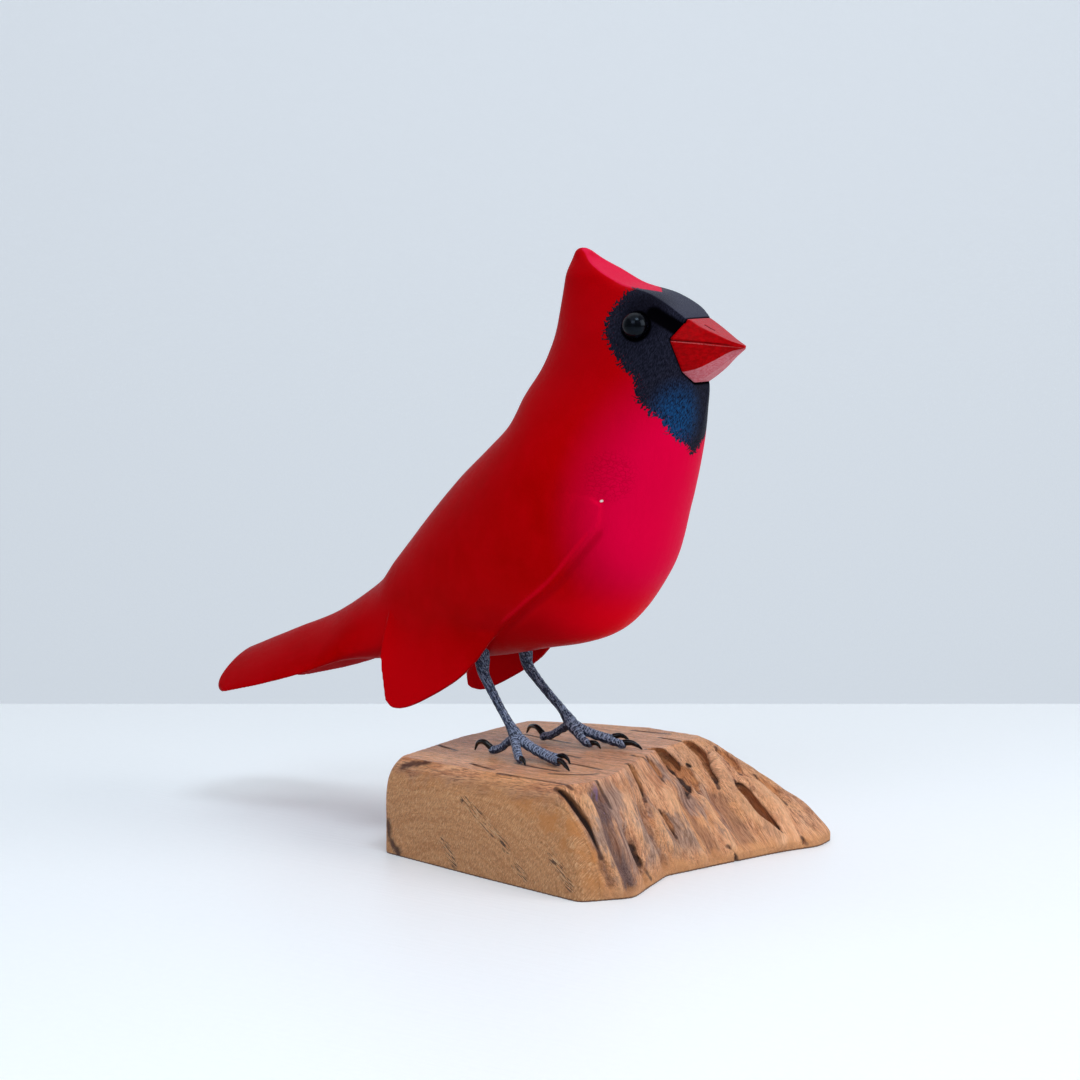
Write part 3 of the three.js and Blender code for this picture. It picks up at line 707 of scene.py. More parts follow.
BEAD_SIDES = 72
BEAD_RINGS = 48
beads = {}
turn = np.arange(BEAD_SIDES) * TAU / BEAD_SIDES
for side, name in ((1, "left"), (-1, "right")):
    rings = []
    for tilt in np.linspace(0, math.pi, BEAD_RINGS + 2)[1:-1]:
        flat = np.stack([np.cos(turn), np.sin(turn), np.zeros(BEAD_SIDES)], 1)
        ring = math.sin(tilt) * flat + [0, 0, math.cos(tilt)]
        rings.append([EYE_AT[0], side * eye_out, EYE_AT[2]] + EYE_RADIUS * ring)
    beads[name] = mesh_object("bead_eye_" + name, *closed_loft(rings))

# Limbs of each foot as points of x, y, z and radius: the shank, then the toes and then the
# claws, both in the order of TOES
TOES = ("middle", "inner", "outer", "hind")
FEET = {
    "right": [
        [[-13.5, -10.6, 60, 2.35], [-12.9, -10.8, 55, 2.25], [-12.2, -11, 51.5, 1.65],
         [-9.6, -11.3, 47.5, 1.4], [-5.8, -11.8, 42.5, 1.25], [-2.2, -12.3, 38.2, 1.35],
         [0.4, -12.6, 35, 1.95], [1.6, -12.7, 33.4, 1.8]],
        [[0.8, -12.8, 34.4, 1.8], [4.8, -13, 32.8, 1.45], [9.6, -13.4, 31, 1.3],
         [14.2, -14.2, 29.9, 1.2], [17.6, -15.6, 29.6, 1.25]],
        [[1, -12, 34.2, 1.6], [5, -10.9, 31.9, 1.25], [9.6, -10.2, 30.2, 1.15], [13.6, -10.2, 29.5, 1.1]],
        [[0.8, -13.4, 34.2, 1.6], [2.8, -15.4, 31.9, 1.3], [4.9, -17.3, 30.1, 1.25],
         [6.6, -18.6, 29.5, 1.15]],
        [[0.2, -12.5, 34.4, 1.5], [-3.2, -11.9, 32.2, 1.15], [-5.8, -11.9, 30.3, 1.15],
         [-8.2, -12.2, 29.6, 1.2]],
        [[18.1, -15.9, 30, 0.95], [20.3, -17.1, 30.1, 0.8], [22.6, -18.4, 29.2, 0.6],
         [24.4, -19.6, 28.6, 0.25]],
        [[14.3, -10.3, 29.9, 0.9], [16.2, -10.8, 30.4, 0.75], [18, -11.3, 29.8, 0.5],
         [18.9, -11.5, 28.6, 0.25]],
        [[7.1, -19, 29.9, 0.85], [8.3, -19.8, 30, 0.7], [9.3, -20.4, 29.4, 0.5],
         [9.8, -20.7, 28.6, 0.25]],
        [[-8.8, -12.4, 30.4, 0.95], [-11, -12.6, 31.7, 0.8], [-13.8, -11.8, 31, 0.6],
         [-15.4, -11.1, 28.7, 0.25]],
    ],
    "left": [
        [[-14, 10.8, 60, 2.3], [-13.3, 11, 55, 2.15], [-12.6, 11.2, 51, 1.7], [-9.4, 11.6, 47, 1.4],
         [-5, 12.1, 42.5, 1.3], [-1, 12.6, 38.6, 1.35], [1.6, 13, 35.2, 2], [2.8, 13.2, 33.6, 1.8]],
        [[2, 13.3, 34.5, 1.8], [5.6, 14.6, 32.8, 1.45], [10.2, 16, 31.2, 1.3], [14.6, 16.8, 30.1, 1.2],
         [17.4, 17.2, 29.6, 1.25]],
        [[2.2, 12.6, 34.3, 1.6], [5, 12.2, 32.1, 1.3], [7.4, 11.9, 30.3, 1.2], [9.2, 12, 29.5, 1.1]],
        [[2.1, 13.8, 34.3, 1.6], [4.8, 17.2, 32.1, 1.3], [7.6, 20.2, 30.6, 1.2], [10, 22.2, 29.8, 1.1]],
        [[1.4, 12.9, 34.5, 1.5], [-2.4, 13.6, 32.3, 1.15], [-5.6, 13.5, 30.4, 1.15],
         [-8.6, 13.6, 29.6, 1.2]],
        [[18, 17.3, 30.1, 0.95], [20.2, 17.9, 30.2, 0.8], [22, 18.3, 29.5, 0.6],
         [23.3, 18.6, 28.6, 0.25]],
        [[9.8, 12.1, 29.9, 0.85], [11.1, 12.3, 30, 0.7], [12.1, 12.5, 29.4, 0.5],
         [12.7, 12.6, 28.6, 0.25]],
        [[10.6, 22.7, 30.3, 0.9], [12.2, 23.7, 30.6, 0.75], [13.7, 24.6, 29.9, 0.5],
         [14.6, 25.2, 28.6, 0.25]],
        [[-9.2, 13.8, 30.5, 0.95], [-11.6, 14.2, 32, 0.8], [-15.4, 16.2, 31.4, 0.6], [-18, 18, 29, 0.25]],
    ],
}
LEG_VOXEL = 0.16
# How long a row of scutes is on the shank and on the toes, and a row of pads
SHANK_SCUTE = 2.1
TOE_SCUTE = 1.5
PAD = 2.9
# Each limb's run is counted from a number of its own, so that the shank's are below 50
LIMB_START = 50
legs, claws = {}, {}
for side, foot in FEET.items():
    limbs = foot[:1 + len(TOES)]
    leg = mesh_object("cast_leg_" + side, *joined([tube(limb, 32, 60) for limb in limbs]))
    remesh(leg, LEG_VOXEL)
    relax(leg, 3)
    at, out = points_of(leg), normals_of(leg)
    best = np.full(len(at), 1e9)
    run, faces_up = np.zeros(len(at)), np.zeros(len(at))
    for k, limb in enumerate(limbs):
        gap, along, nearest = near_line(at, smooth_line(limb, 40)[:, :3], 0.2)
        closer = gap < best
        best[closer], run[closer] = gap[closer], along[closer] + LIMB_START * k
        # 1 on the front of the shank and the tops of the toes, -1 on their soles
        faces_up[closer] = unit(at[closer] - nearest[closer]) @ [[0, 0, 1.0], [0.8, 0, 0.6]][k == 0]
    pitch = np.where(run < LIMB_START, SHANK_SCUTE, TOE_SCUTE)
    phase = (run / pitch + 0.12 * wobble(at, 1.5, 5)) % 1
    scute = np.clip(np.minimum(phase / 0.18, (1 - phase) / 0.82 + 0.35), 0, 1)
    top = smoothstep(faces_up, -0.15, 0.45)
    pads = (0.5 + 0.5 * np.cos(run / PAD * TAU)) * smoothstep(-faces_up, 0.1, 0.8) * (run > LIMB_START)
    rough = 0.06 * wobble(at, 0.9, 6) + 0.05 * wobble(at, 0.45, 7)
    put_points(leg, at + out * (0.13 * (scute - 1) * top + 0.16 * pads + rough)[:, None])
    store(leg, scute=1 - (1 - scute) * top)
    legs[side] = leg
    parts = [tube(claw, 28, 34, 0.82) for claw in foot[1 + len(TOES):]]
    claws[side] = mesh_object("cast_claws_" + side, *joined(parts))

# Wood block: its height, and the share of it at the foot that stands upright
BLOCK_HEIGHT = 28.0
BLOCK_FOOT = 0.08
# Corners of the block: floor x, y, top x, y, and how steep the side is there
BLOCK_CORNERS = [
    [-34.5, 41, -32.5, 38.5, 9],
    [-35, 4, -33, 4, 9],
    [-31.8, -33.6, -28.6, -29.4, 7],
    [8, -41.5, 8, -32.5, 4],
    [48.6, -48.8, 33, -35.5, 2],
    [57.8, -36, 37, -27, 1.5],
    [53.5, -20, 36, -14, 1.3],
    [51, -10, 32.5, -3, 1.2],
    [54, 3, 29.5, 8, 1.2],
    [58, 19, 26, 21, 1.1],
    [62, 35, 25.5, 34, 1.1],
    [67, 47, 26, 43, 1.1],
    [65.5, 57.5, 24, 49, 1.3],
    [22, 54.5, 4, 50.5, 4],
    [-12, 48.5, -14, 46, 7],
]


def block_rings():
    """Rings from the floor to the top face, with the corners softened."""
    rows = np.array(BLOCK_CORNERS, float)
    loop = []
    for row, following in zip(rows, np.roll(rows, -1, 0)):
        count = max(4, int(np.linalg.norm(following[:2] - row[:2]) / 0.6))
        loop.append(between(row, following, np.linspace(0, 1, count, endpoint=False)[:, None]))
    loop = np.concatenate(loop)
    reach = np.arange(-9, 10)
    kernel = bell(reach, 4.0)
    kernel /= kernel.sum()
    soft = sum(w * np.roll(loop, k, 0) for k, w in zip(reach, kernel))
    rings = []
    for h in 1 - (1 - np.linspace(0, 1, 60)) ** 1.7:
        above = max(0.0, (h - BLOCK_FOOT) / (1 - BLOCK_FOOT))
        xy = between(soft[:, 0:2], soft[:, 2:4], above ** soft[:, 4:5])
        rings.append(np.concatenate([xy, np.full((len(soft), 1), BLOCK_HEIGHT * h)], 1))
    rim, middle = rings[-1], rings[-1].mean(0)
    for share in np.linspace(0.97, 0.05, 30):
        rings.append(between(middle, rim, share))
    return rings


block = mesh_object("wood_base", *closed_loft(block_rings()))
whole = BVHTree.FromObject(block, bpy.context.evaluated_depsgraph_get())

# Folds of the natural edge: points down the slope, half width, and height or depth
FOLDS = [
    ([[37, -32.2, 26.4], [43.6, -34.8, 20.7], [49, -38.2, 14.3], [55.4, -39.3, 2.6]], 1.5, 1.2),
    ([[37.7, -26.6, 27.3], [46.8, -32.5, 18.6], [51.3, -35.5, 13], [57, -36.3, 2.8]], 1.9, -1.7),
    ([[49.1, -40.6, 12.8], [51.4, -41.3, 9.1], [53.9, -41.1, 3.9]], 1.5, -1.3),
    ([[38.3, -18.4, 25.9], [41.5, -18.3, 22.1], [46.3, -18.2, 15.6], [49.9, -16.7, 8.7]], 4, 1),
    ([[46, -24, 18], [49.9, -26.1, 12.9], [53.6, -26.4, 6.1], [54.6, -25, 2]], 2, -1.3),
    ([[38.6, -5.4, 20.6], [42.5, -8.5, 16], [46.5, -10.5, 10.5], [49.5, -10, 4]], 2.6, -1.2),
    ([[39, -4, 20.1], [42.8, -3.9, 15.4], [45.5, -5.1, 11.9], [53, -1.6, 0.8]], 1.6, 1.1),
    ([[35.6, 9.8, 22.1], [41, 7.4, 17.3], [46.3, 4, 12], [53.9, 4.3, 3]], 2.2, 1.5),
    ([[38, 15.4, 19.8], [42.9, 13.2, 15.6], [48, 11.2, 10.9], [55, 10, 3.2]], 2.8, -1.2),
    ([[40.4, 22.5, 17.4], [44.7, 20.1, 13.9], [49.7, 18.4, 9.8], [56.3, 15.7, 3.3]], 1.8, 1.1),
    ([[40, 29.8, 18.3], [44.4, 27.8, 15], [49, 25.6, 11.3], [56.5, 23.6, 4.9]], 3.4, -1),
    ([[30, 43.8, 25.6], [39.7, 37.5, 19.2], [48.3, 33.7, 12.8], [60.8, 34.6, 3.6]], 1.6, 1.7),
    ([[41.3, 44.3, 19], [46.7, 45.1, 15.8], [52.1, 44.5, 12.3], [62.1, 40.4, 3.8]], 2, 1),
]
# Gashes down the slope: points, widths to the left and to the right of them, and depth
GASHES = [
    ([[31.6, -36.4, 27.2], [35.9, -37.3, 25.5], [40.2, -38.2, 22.3], [43.7, -38.8, 19.2],
      [46.8, -39.9, 15.8], [50.2, -41, 11]], 0.6, 1.9, 3),
    ([[37, -24, 27.8], [39.8, -25.1, 25.3], [43.4, -26.8, 21.6]], 0.35, 0.6, 1.3),
    ([[30.4, 0.4, 28], [34.8, -1.5, 24.7], [40, -4, 19.2]], 0.6, 2.7, 3.4),
    ([[24.6, 11.6, 28], [27.4, 10.8, 27.9], [30.2, 11.8, 27]], 0.4, 0.7, 1.2),
    ([[28.6, 13.6, 27.8], [32.3, 12.5, 24.6], [35.8, 10.8, 21.7]], 0.7, 2.6, 3.2),
    ([[22.6, 22, 28], [28.3, 22.4, 26.3], [32.5, 20.5, 23.3], [36.2, 19.5, 20.6],
      [41, 16.7, 16.8]], 0.9, 4.8, 4.8),
    ([[31.4, 26, 24.2], [36.2, 24.1, 20.6], [41.2, 22, 16.8]], 0.6, 2.2, 2.8),
    ([[24.3, 37.5, 28], [28.4, 38.3, 26.4], [32.3, 37.8, 23.9], [36, 35.2, 21.3],
      [41.8, 31.5, 17.1]], 0.8, 3.4, 4),
    ([[30.4, 48, 25.4], [35.7, 46.6, 22.3], [41.4, 44.5, 19]], 0.6, 2, 2.6),
    ([[43.4, 49, 18], [48.9, 48.8, 14.7], [54.8, 48.4, 11]], 0.5, 1.3, 1.8),
    ([[42.4, 39.8, 17.8], [46.6, 38, 14.7], [50.8, 36.8, 11.6], [55.2, 36.6, 8.3],
      [60, 37, 4.8]], 1, 4.8, 3.5),
    ([[42.4, -0.6, 16], [45.4, -0.7, 12.6], [48.3, -1, 9.2]], 0.6, 2.8, 2.5),
    ([[50.6, 19, 9.2], [52.2, 18.7, 7.6], [54.2, 18.5, 5.8]], 0.4, 0.9, 1.5),
    ([[55.4, 15, 4.4], [57, 16, 2], [58.4, 17.4, -1]], 0.5, 0.9, 2.2),
    ([[49.4, -25, 13.8], [51.8, -25.9, 10.1], [53.6, -24.9, 6.1], [54.2, -21.6, 2]], 0.4, 1, 1.2),
    ([[51.6, -46.4, 3.4], [52.4, -46.6, 1.2], [52.8, -46.8, -1]], 0.5, 0.8, 1.8),
    ([[64, 42, 3], [66, 42.6, 1], [67, 43.2, -1]], 0.4, 0.7, 1.5),
]
CRACKS_ON_TOP = [
    ([[-30.5, -9.2, 28], [-26.3, -11, 28], [-21.2, -12.7, 28]], 0.4, 1.2),
    ([[-5.7, -25.6, 28], [-0.9, -27.3, 28], [4.5, -28.9, 28]], 0.55, 1.4),
    ([[4.1, -17.3, 28], [12.8, -19.2, 28], [20.7, -19.9, 28]], 0.35, 1.1),
    ([[9, -32.2, 28], [21.6, -33, 28], [29, -33.6, 28], [35.6, -34, 27.4]], 0.6, 1.7),
    ([[20.9, -23.9, 28], [28.8, -20.6, 28], [31.8, -16.6, 28]], 0.35, 1),
    ([[15.9, -8.4, 28], [22.1, -9.4, 28], [29.1, -11, 28]], 0.5, 1.4),
    ([[6.4, 1.1, 28], [10.2, 0.3, 28], [14.6, -0.8, 28]], 0.4, 1.1),
    ([[-19.7, 19.1, 28], [-11.1, 17.8, 28], [-1, 16.1, 28]], 0.4, 1.2),
    ([[3, 43.7, 28], [8.7, 44.8, 28], [15.2, 45.7, 28]], 0.4, 1.1),
    ([[16, 39.2, 28], [20.5, 38.5, 28], [26, 37.7, 27.6]], 0.5, 1.5),
]
# Scratched lines in the sawn face, and the dark stains at its corners
CRACKS = [
    [[1.6, -38.6, 20.3], [9.7, -41, 16.3], [20.4, -43.6, 10]],
    [[-5.8, -38.7, 7.8], [-3.7, -39.2, 5.3], [-1.2, -39.7, 2]],
    [[23.9, -44.4, 5.6], [25.6, -44.7, 4.4], [27.2, -45, 3.3]],
    [[37.2, -46.1, 10.8], [41.4, -47.3, 7.5], [45, -48.1, 3.7]],
]
STAINS = [
    [[-25.9, -32.2, 25.4], [-22.9, -31.3, 26.8], [-17.7, -30.9, 27.6]],
    [[-29.9, -33.9, 9.1], [-29, -34.3, 4.9], [-24.9, -35, 0.8]],
]
# A purple streak of painted shade runs down the deepest valley of the natural edge
VALLEY_LINE = [[37.7, -26.6, 27.3], [42.3, -29.5, 23.1], [46.8, -32.5, 18.6], [51.3, -35.5, 13], [57, -36.3, 2.8]]
KNOT = [32.8, 29.3, 23.2]
BLOCK_MIDDLE = np.array([8.0, 2.0, 6.0])
# A gash in cross-section: across in shares of its width and down in shares of its depth
GASH_PROFILE = [(-1, 0), (-0.8, 0.5), (-0.45, 0.88), (0, 1), (0.22, 0.9), (0.48, 0.64), (0.74, 0.34),
                (1, 0), (1.35, -0.9), (0, -1.6), (-1.6, -0.9)]


def gash_cutter(line, left, right, deep, flat=False):
    """A closed wedge along a line, steep on its left and easy on its right."""
    line = smooth_line(line, 40)
    f = np.linspace(0, 1, len(line))
    size = np.clip(f / 0.18, 0, 1) ** 0.5 * np.clip((1 - f) / 0.42, 0, 1) ** 0.7
    size = np.clip(size * (1 + 0.15 * wobble(line, 2.4, 21)), 0.015, None)
    way = tangents(line)
    inward = np.array([[0, 0, -1.0]] * len(line)) if flat else BLOCK_MIDDLE - line
    inward = unit(inward - way * (inward * way).sum(1)[:, None])
    rings = []
    for p, k, w, d in zip(line, size, np.cross(way, inward), inward):
        rings.append([p + w * k * a * (left if a < 0 else right) + d * b * (deep * k if b > 0 else 1.2 + k)
                      for a, b in GASH_PROFILE])
    return closed_loft(rings)


cutters = [gash_cutter(*gash) for gash in GASHES]
cutters += [gash_cutter(line, half, half, deep, True) for line, half, deep in CRACKS_ON_TOP]
cutters.append(tube([[*KNOT, 0.8], [31.0, 29.3, 21.6, 0.6]], 16, 10))
for cutter in cutters:
    tool = mesh_object("cutter", *cutter)
    modify(block, "BOOLEAN", operation="DIFFERENCE", solver="MANIFOLD", object=tool)
    bpy.data.objects.remove(tool)
BLOCK_VOXEL = 0.35
remesh(block, BLOCK_VOXEL)
relax(block, 1)
at, out = points_of(block), normals_of(block)
depth = np.array([whole.find_nearest(Vector(p))[3] for p in at])


def close_to(line, points, most):
    """Points that a line may come within a distance of."""
    line = np.array(line)
    return ((points > line.min(0) - most) & (points < line.max(0) + most)).all(1)


# Corners of the block whose sides are the natural edge
EDGE_CORNERS = slice(4, 13)
FOLD_SHARE = 1.35
# How far the grain runs aside for each mm that the natural edge falls away, from front to back
GRAIN_Y = [-30, 0, 20, 36, 48]
GRAIN_RUN = [0.45, 0.42, 0.3, 0.25, 0.05]

_, _, edge_x, edge_y, _ = np.array(BLOCK_CORNERS[EDGE_CORNERS]).T
beyond = at[:, 0] - np.interp(at[:, 1], edge_y, edge_x)
sloped = smoothstep(beyond, -1.5, 4.0) * (at[:, 2] > 0.3)
# The sawn face runs round the front corner as far as the first gash
sloped *= smoothstep(at[:, 1] + 36.4 + 0.256 * (at[:, 0] - 32.0), -2.5, 0.5)
level = smoothstep(at[:, 2], 24.0, 27.5) * (1 - sloped)
fall = np.clip(beyond, 0, None)
run = np.interp(at[:, 1], GRAIN_Y, GRAIN_RUN)
flow = at + np.stack([0 * fall, run * fall, 0.95 * fall * (sloped > 0)], 1)
lift = sloped * (0.35 * wobble(flow, 3.0, 11, (5, 1, 2)) + 0.22 * wobble(flow, 1.3, 12, (6, 1, 2)))
lift += sloped * (0.10 * wobble(flow, 0.6, 17, (8, 1, 2)) + 0.5 * wobble(at, 10, 13))
lift += (1 - sloped) * (0.12 * wobble(at, 9, 15) + 0.04 * wobble(flow, 1.2, 16, (8, 1, 1)))
fold = np.zeros(len(at))
for line, half, rise in FOLDS:
    near = close_to(line, at, 3 * half)
    gap, along, _ = near_line(at[near], smooth_line(line, 14), 0.6)
    uneven = 1 + 0.55 * wobble(at[near], 8, 23)
    crest = np.exp(-((gap / (half * uneven)) ** (1.3 if rise > 0 else 2)))
    fold[near] += rise * uneven * smoothstep(along, 0, 5) * crest * smoothstep(beyond[near], 0, 4)
lift += FOLD_SHARE * fold
lift *= np.clip(at[:, 2] / 1.5, 0, 1)
lift *= np.where(sloped > 0.5, 1, np.exp(-depth))
at += out * lift[:, None]
at[:, 2] = np.clip(at[:, 2], 0.0, None)
put_points(block, at)


def nearest_of(lines, most):
    """Distance from the block's points to the nearest of some lines, up to a limit."""
    best = np.full(len(at), most)
    for line in lines:
        near = close_to(line, at, most)
        best[near] = np.minimum(best[near], near_line(at[near], smooth_line(line, 12), 0.4)[0])
    return best


# How far aside of the nearest gash a point lies, from -1 at its steep lip to 1 at its easy one
ASIDE_REACH = 6.0
aside, closest = np.full(len(at), 2.0), np.full(len(at), ASIDE_REACH)
for line, left, right, _ in GASHES:
    near = np.flatnonzero(close_to(line, at, ASIDE_REACH))
    gap, _, nearest = near_line(at[near], smooth_line(line, 14), 0.5)
    across = unit(np.cross(np.subtract(line[-1], line[0]), BLOCK_MIDDLE - np.mean(line, axis=0)))
    offset = (at[near] - nearest) @ across
    offset /= np.where(offset < 0, left, right)
    closer = gap < closest[near]
    closest[near[closer]], aside[near[closer]] = gap[closer], offset[closer]
seam, seam_along = near_where(close_to(VALLEY_LINE, at, 12), at, smooth_line(VALLEY_LINE, 20), 12.0, 0.4)
store(block, grain=flow, sloped=sloped, level=level, fold=fold + lift, depth=depth,
      gash=nearest_of([line for line, *_ in GASHES + CRACKS_ON_TOP], ASIDE_REACH),
      aside=np.clip(aside, -2, 2), crack=nearest_of(CRACKS, FAR), stain=nearest_of(STAINS, FAR),
      seam=seam, seam_along=seam_along)


def red_paint():
    g = Graph("painted_wood")
    p = g.place
    facing = g.make("NewGeometry", {}, "Normal")
    x, height = g.dot(p, (1, 0, 0)), g.dot(p, (0.3, 0, 1))
    streak = g.noise(p, (0.25, 0.6, 0.12), 4)
    fine = g.noise(p, (1.4, 2.2, 0.7))
    red = g.tones(g.noise(p, 0.045), 0.35, 0.65, (0.36, 0, 0), (0.42, 0, 0.001))
    # Brighter low on the wing tips. Painted light makes the head brighter, painted shade darkens the parts
    # that face back and up, and a crimson painted sheen lies on the flat that is planed on the crest
    planed = g.span(g.dot(facing, (0.32, 0, 0.95)), 0.86, 0.96)
    red = g.layers(
        red,
        (streak, 0.4, 0.75, 0.4, (0.48, 0, 0.003)),
        (height, 128, 150, 0.6, (0.44, 0, 0.003)),
        (g.dot(facing, (-0.86, -0.1, 0.5)), 0.05, 0.75, 0.35, (0.31, 0, 0.003)),
        (height, 62, 36, 0.8, (0.54, 0, 0.003), g.span(x, -66, -42)),
        (g.dot(p, (0, 0, 1)), 156, 162, 0.8, (0.64, 0.010, 0.055), planed),
        # Painted light: a lighter crimson on the breast with a painted pink sheen, a lighter red on the
        # belly as light thrown up from the table, and painted shade darker below the belly where it faces
        # down
        (g.gap((58, 0, 100), (1, 0.6, 0.8)), 41, 20, 0.92, (0.65, 0, 0.040)),
        (g.gap((24, 0, 60), (1, 0.7, 1)), 30, 12, 0.75, (0.74, 0, 0.010)),
        (g.dot(facing, (0, 0, -1)), 0.3, 0.75, 0.8, (0.30, 0, 0.002), g.span(x, 32, 10)),
        # A painted highlight runs along the ridge inside the wing's edge, and painted shade lies in the
        # groove outside it
        (g.read("wing_ridge"), 1.1, 0.3, 0.5, (0.70, 0, 0.018)),
        (g.read("wing_groove"), 1.6, 0.4, 0.35, (0.26, 0, 0.003)),
    )
    # The mask's ragged edge, with teeth of two sizes
    mask = g.read("mask")
    shaken = g.plus(g.read("mask_along"), g.noise(p, 0.45, 2), 6.0)
    big = g.times(g.math("PINGPONG", shaken, 0.8), g.noise(p, 0.3, 2))
    small = g.math("PINGPONG", g.plus(shaken, g.noise(p, 1.4, 1), 2.0), 0.3)
    edge = g.plus(g.plus(g.plus(mask, big, 5.0), small, 1.6), g.noise(p, 2.2), 1.8)
    bare = g.times(g.span(g.noise(p, 1.9, 5, 0.75), 0.60, 0.65), g.span(mask, 4.0, 0.3))
    black = g.times(g.span(edge, 2.16, 2.28), g.plus(1.0, bare, -0.7))
    # Brush strokes run back and down the face
    bristle = g.noise(g.turned((3.0, 1.8, -1.7), (-0.35, 0.2, -0.65), (0.8, 2.6, 0)), 1.0, 5, 0.62)
    ink = g.tones(bristle, 0.36, 0.70, (0.004, 0.005, 0.010), (0.021, 0.022, 0.039))
    # A painted highlight lightens the planed brow, the ink is darker round the eye, and a painted blue
    # sheen lies on the throat's brush strokes
    throat = g.span(bristle, 0.38, 0.58)
    ink = g.layers(
        ink,
        (g.dot(facing, (0.55, 0, 0.84)), 0.84, 0.95, 0.75, (0.060, 0.062, 0.088)),
        (g.gap((43, -11, 157), (1, 0.6, 1)), 10, 3, 0.7, (0.002, 0.002, 0.0045)),
        (g.gap((53, -8.75, 128.67), (1, 0.8, 0.75)), 9.5, 2, 0.95, (0.006, 0.056, 0.165), throat),
    )
    # Painted shade: pure black in the hollow before the eye, in the gap round the bill and round the eye
    socket = g.vector("DISTANCE", g.vector("ABSOLUTE", p), (EYE_AT[0], eye_out, EYE_AT[2]))
    pit = g.math("MAXIMUM", g.span(g.read("hollow"), 2.8, 1.6), g.span(g.read("root_gap"), 1.0, 0.5))
    pit = g.math("MAXIMUM", pit, g.span(socket, EYE_RADIUS + 1.2, EYE_RADIUS + 0.5))
    ink = g.mix(pit, ink, (0.0004, 0.0005, 0.001))
    # A chip in the paint at the front of the right wing
    chip = g.plus(g.gap((36.5, -21.5, 105.8), (1, 1, 1.6)), g.noise(p, 2.5, 2), 0.6)
    base = g.layers(g.mix(black, red, ink), (chip, 1.0, 0.8, 1.0, (0.72, 0.62, 0.58)))
    # The paint is crazed on the right shoulder
    swirl = g.make("TexNoise", {"Vector": p, "Scale": 0.6}, 1)
    place = g.vector("ADD", p, g.vector("SCALE", swirl, scale=1.5))
    place = g.vector("MULTIPLY", place, (0.6, 1, 1.2))
    crazed = g.make("TexVoronoi", {"Vector": place, "Scale": 0.8}, "Distance",
                    feature="DISTANCE_TO_EDGE")
    split = g.times(g.span(crazed, 0.10, 0.02), g.span(g.gap((38, -19.5, 112.5)), 9, 5))
    base = g.lay(base, (0.20, 0, 0.002), split, 0.22)
    rough = g.blend(black, g.span(fine, 0.3, 0.7, 0.36, 0.48), g.span(bristle, 0.3, 0.7, 0.25, 0.5))
    relief = g.bump(g.plus(streak, fine, 0.5), 0.06)
    relief = g.bump(g.times(bristle, black), 0.32, relief)
    relief = g.bump(g.plus(1.0, split, -1.0), 0.05, relief)
    return g.done(base, g.blend(pit, rough, 0.85), Normal=relief,
                  Specular_IOR_Level=0.012, Specular_Tint=(1.0, 0.35, 0.5))


def bill_paint():
    g = Graph("bill_paint")
    streak = g.noise(g.place, (0.5, 1.5, 1.5))
    speck = g.noise(g.place, (1.2, 3.0, 3.0), 4, 0.65)
    base = g.tones(streak, 0.35, 0.7, (0.29, 0, 0.001), (0.42, 0, 0.002))
    # Pale pink on the marked facets is a painted reflection of the table below and the sky above
    wear_and_sheen = g.tones(speck, 0.3, 0.75, (0.48, 0.085, 0.105), (0.55, 0.20, 0.23))
    # The mouth is a dark line with a painted highlight below it as a light line
    mouth = g.read("mouth")
    below = g.math("ABSOLUTE", g.plus(mouth, 0.5))
    fade = g.span(g.read("mouth_along"), 17.5, 13.0)
    base = g.layers(
        g.mix(g.read("pale"), base, wear_and_sheen),
        (below, 0.16, 0.05, 0.3, (0.70, 0.22, 0.22), g.span(speck, 0.3, 0.55)),
        (g.math("ABSOLUTE", mouth), 0.34, 0.18, 1.0, (0.015, 0.001, 0.002), fade),
        (g.read("nick"), 0.5, 0.25, 1.0, (0.02, 0.002, 0.003)),
    )
    relief = g.bump(g.plus(streak, speck, 0.6), 0.07)
    return g.done(base, g.span(streak, 0.3, 0.7, 0.28, 0.42), Normal=relief,
                  Specular_IOR_Level=0.03)


def bead_glass():
    g = Graph("bead_glass")
    haze = g.noise(g.place, 0.8, 2)
    base = g.tones(haze, 0.4, 0.7, (0.0006, 0.0006, 0.001), (0.002, 0.002, 0.004))
    return g.done(base, g.span(haze, 0.3, 0.8, 0.16, 0.22),
                  Specular_IOR_Level=0.13, Specular_Tint=(0.6, 0.78, 1.0), IOR=1.5)


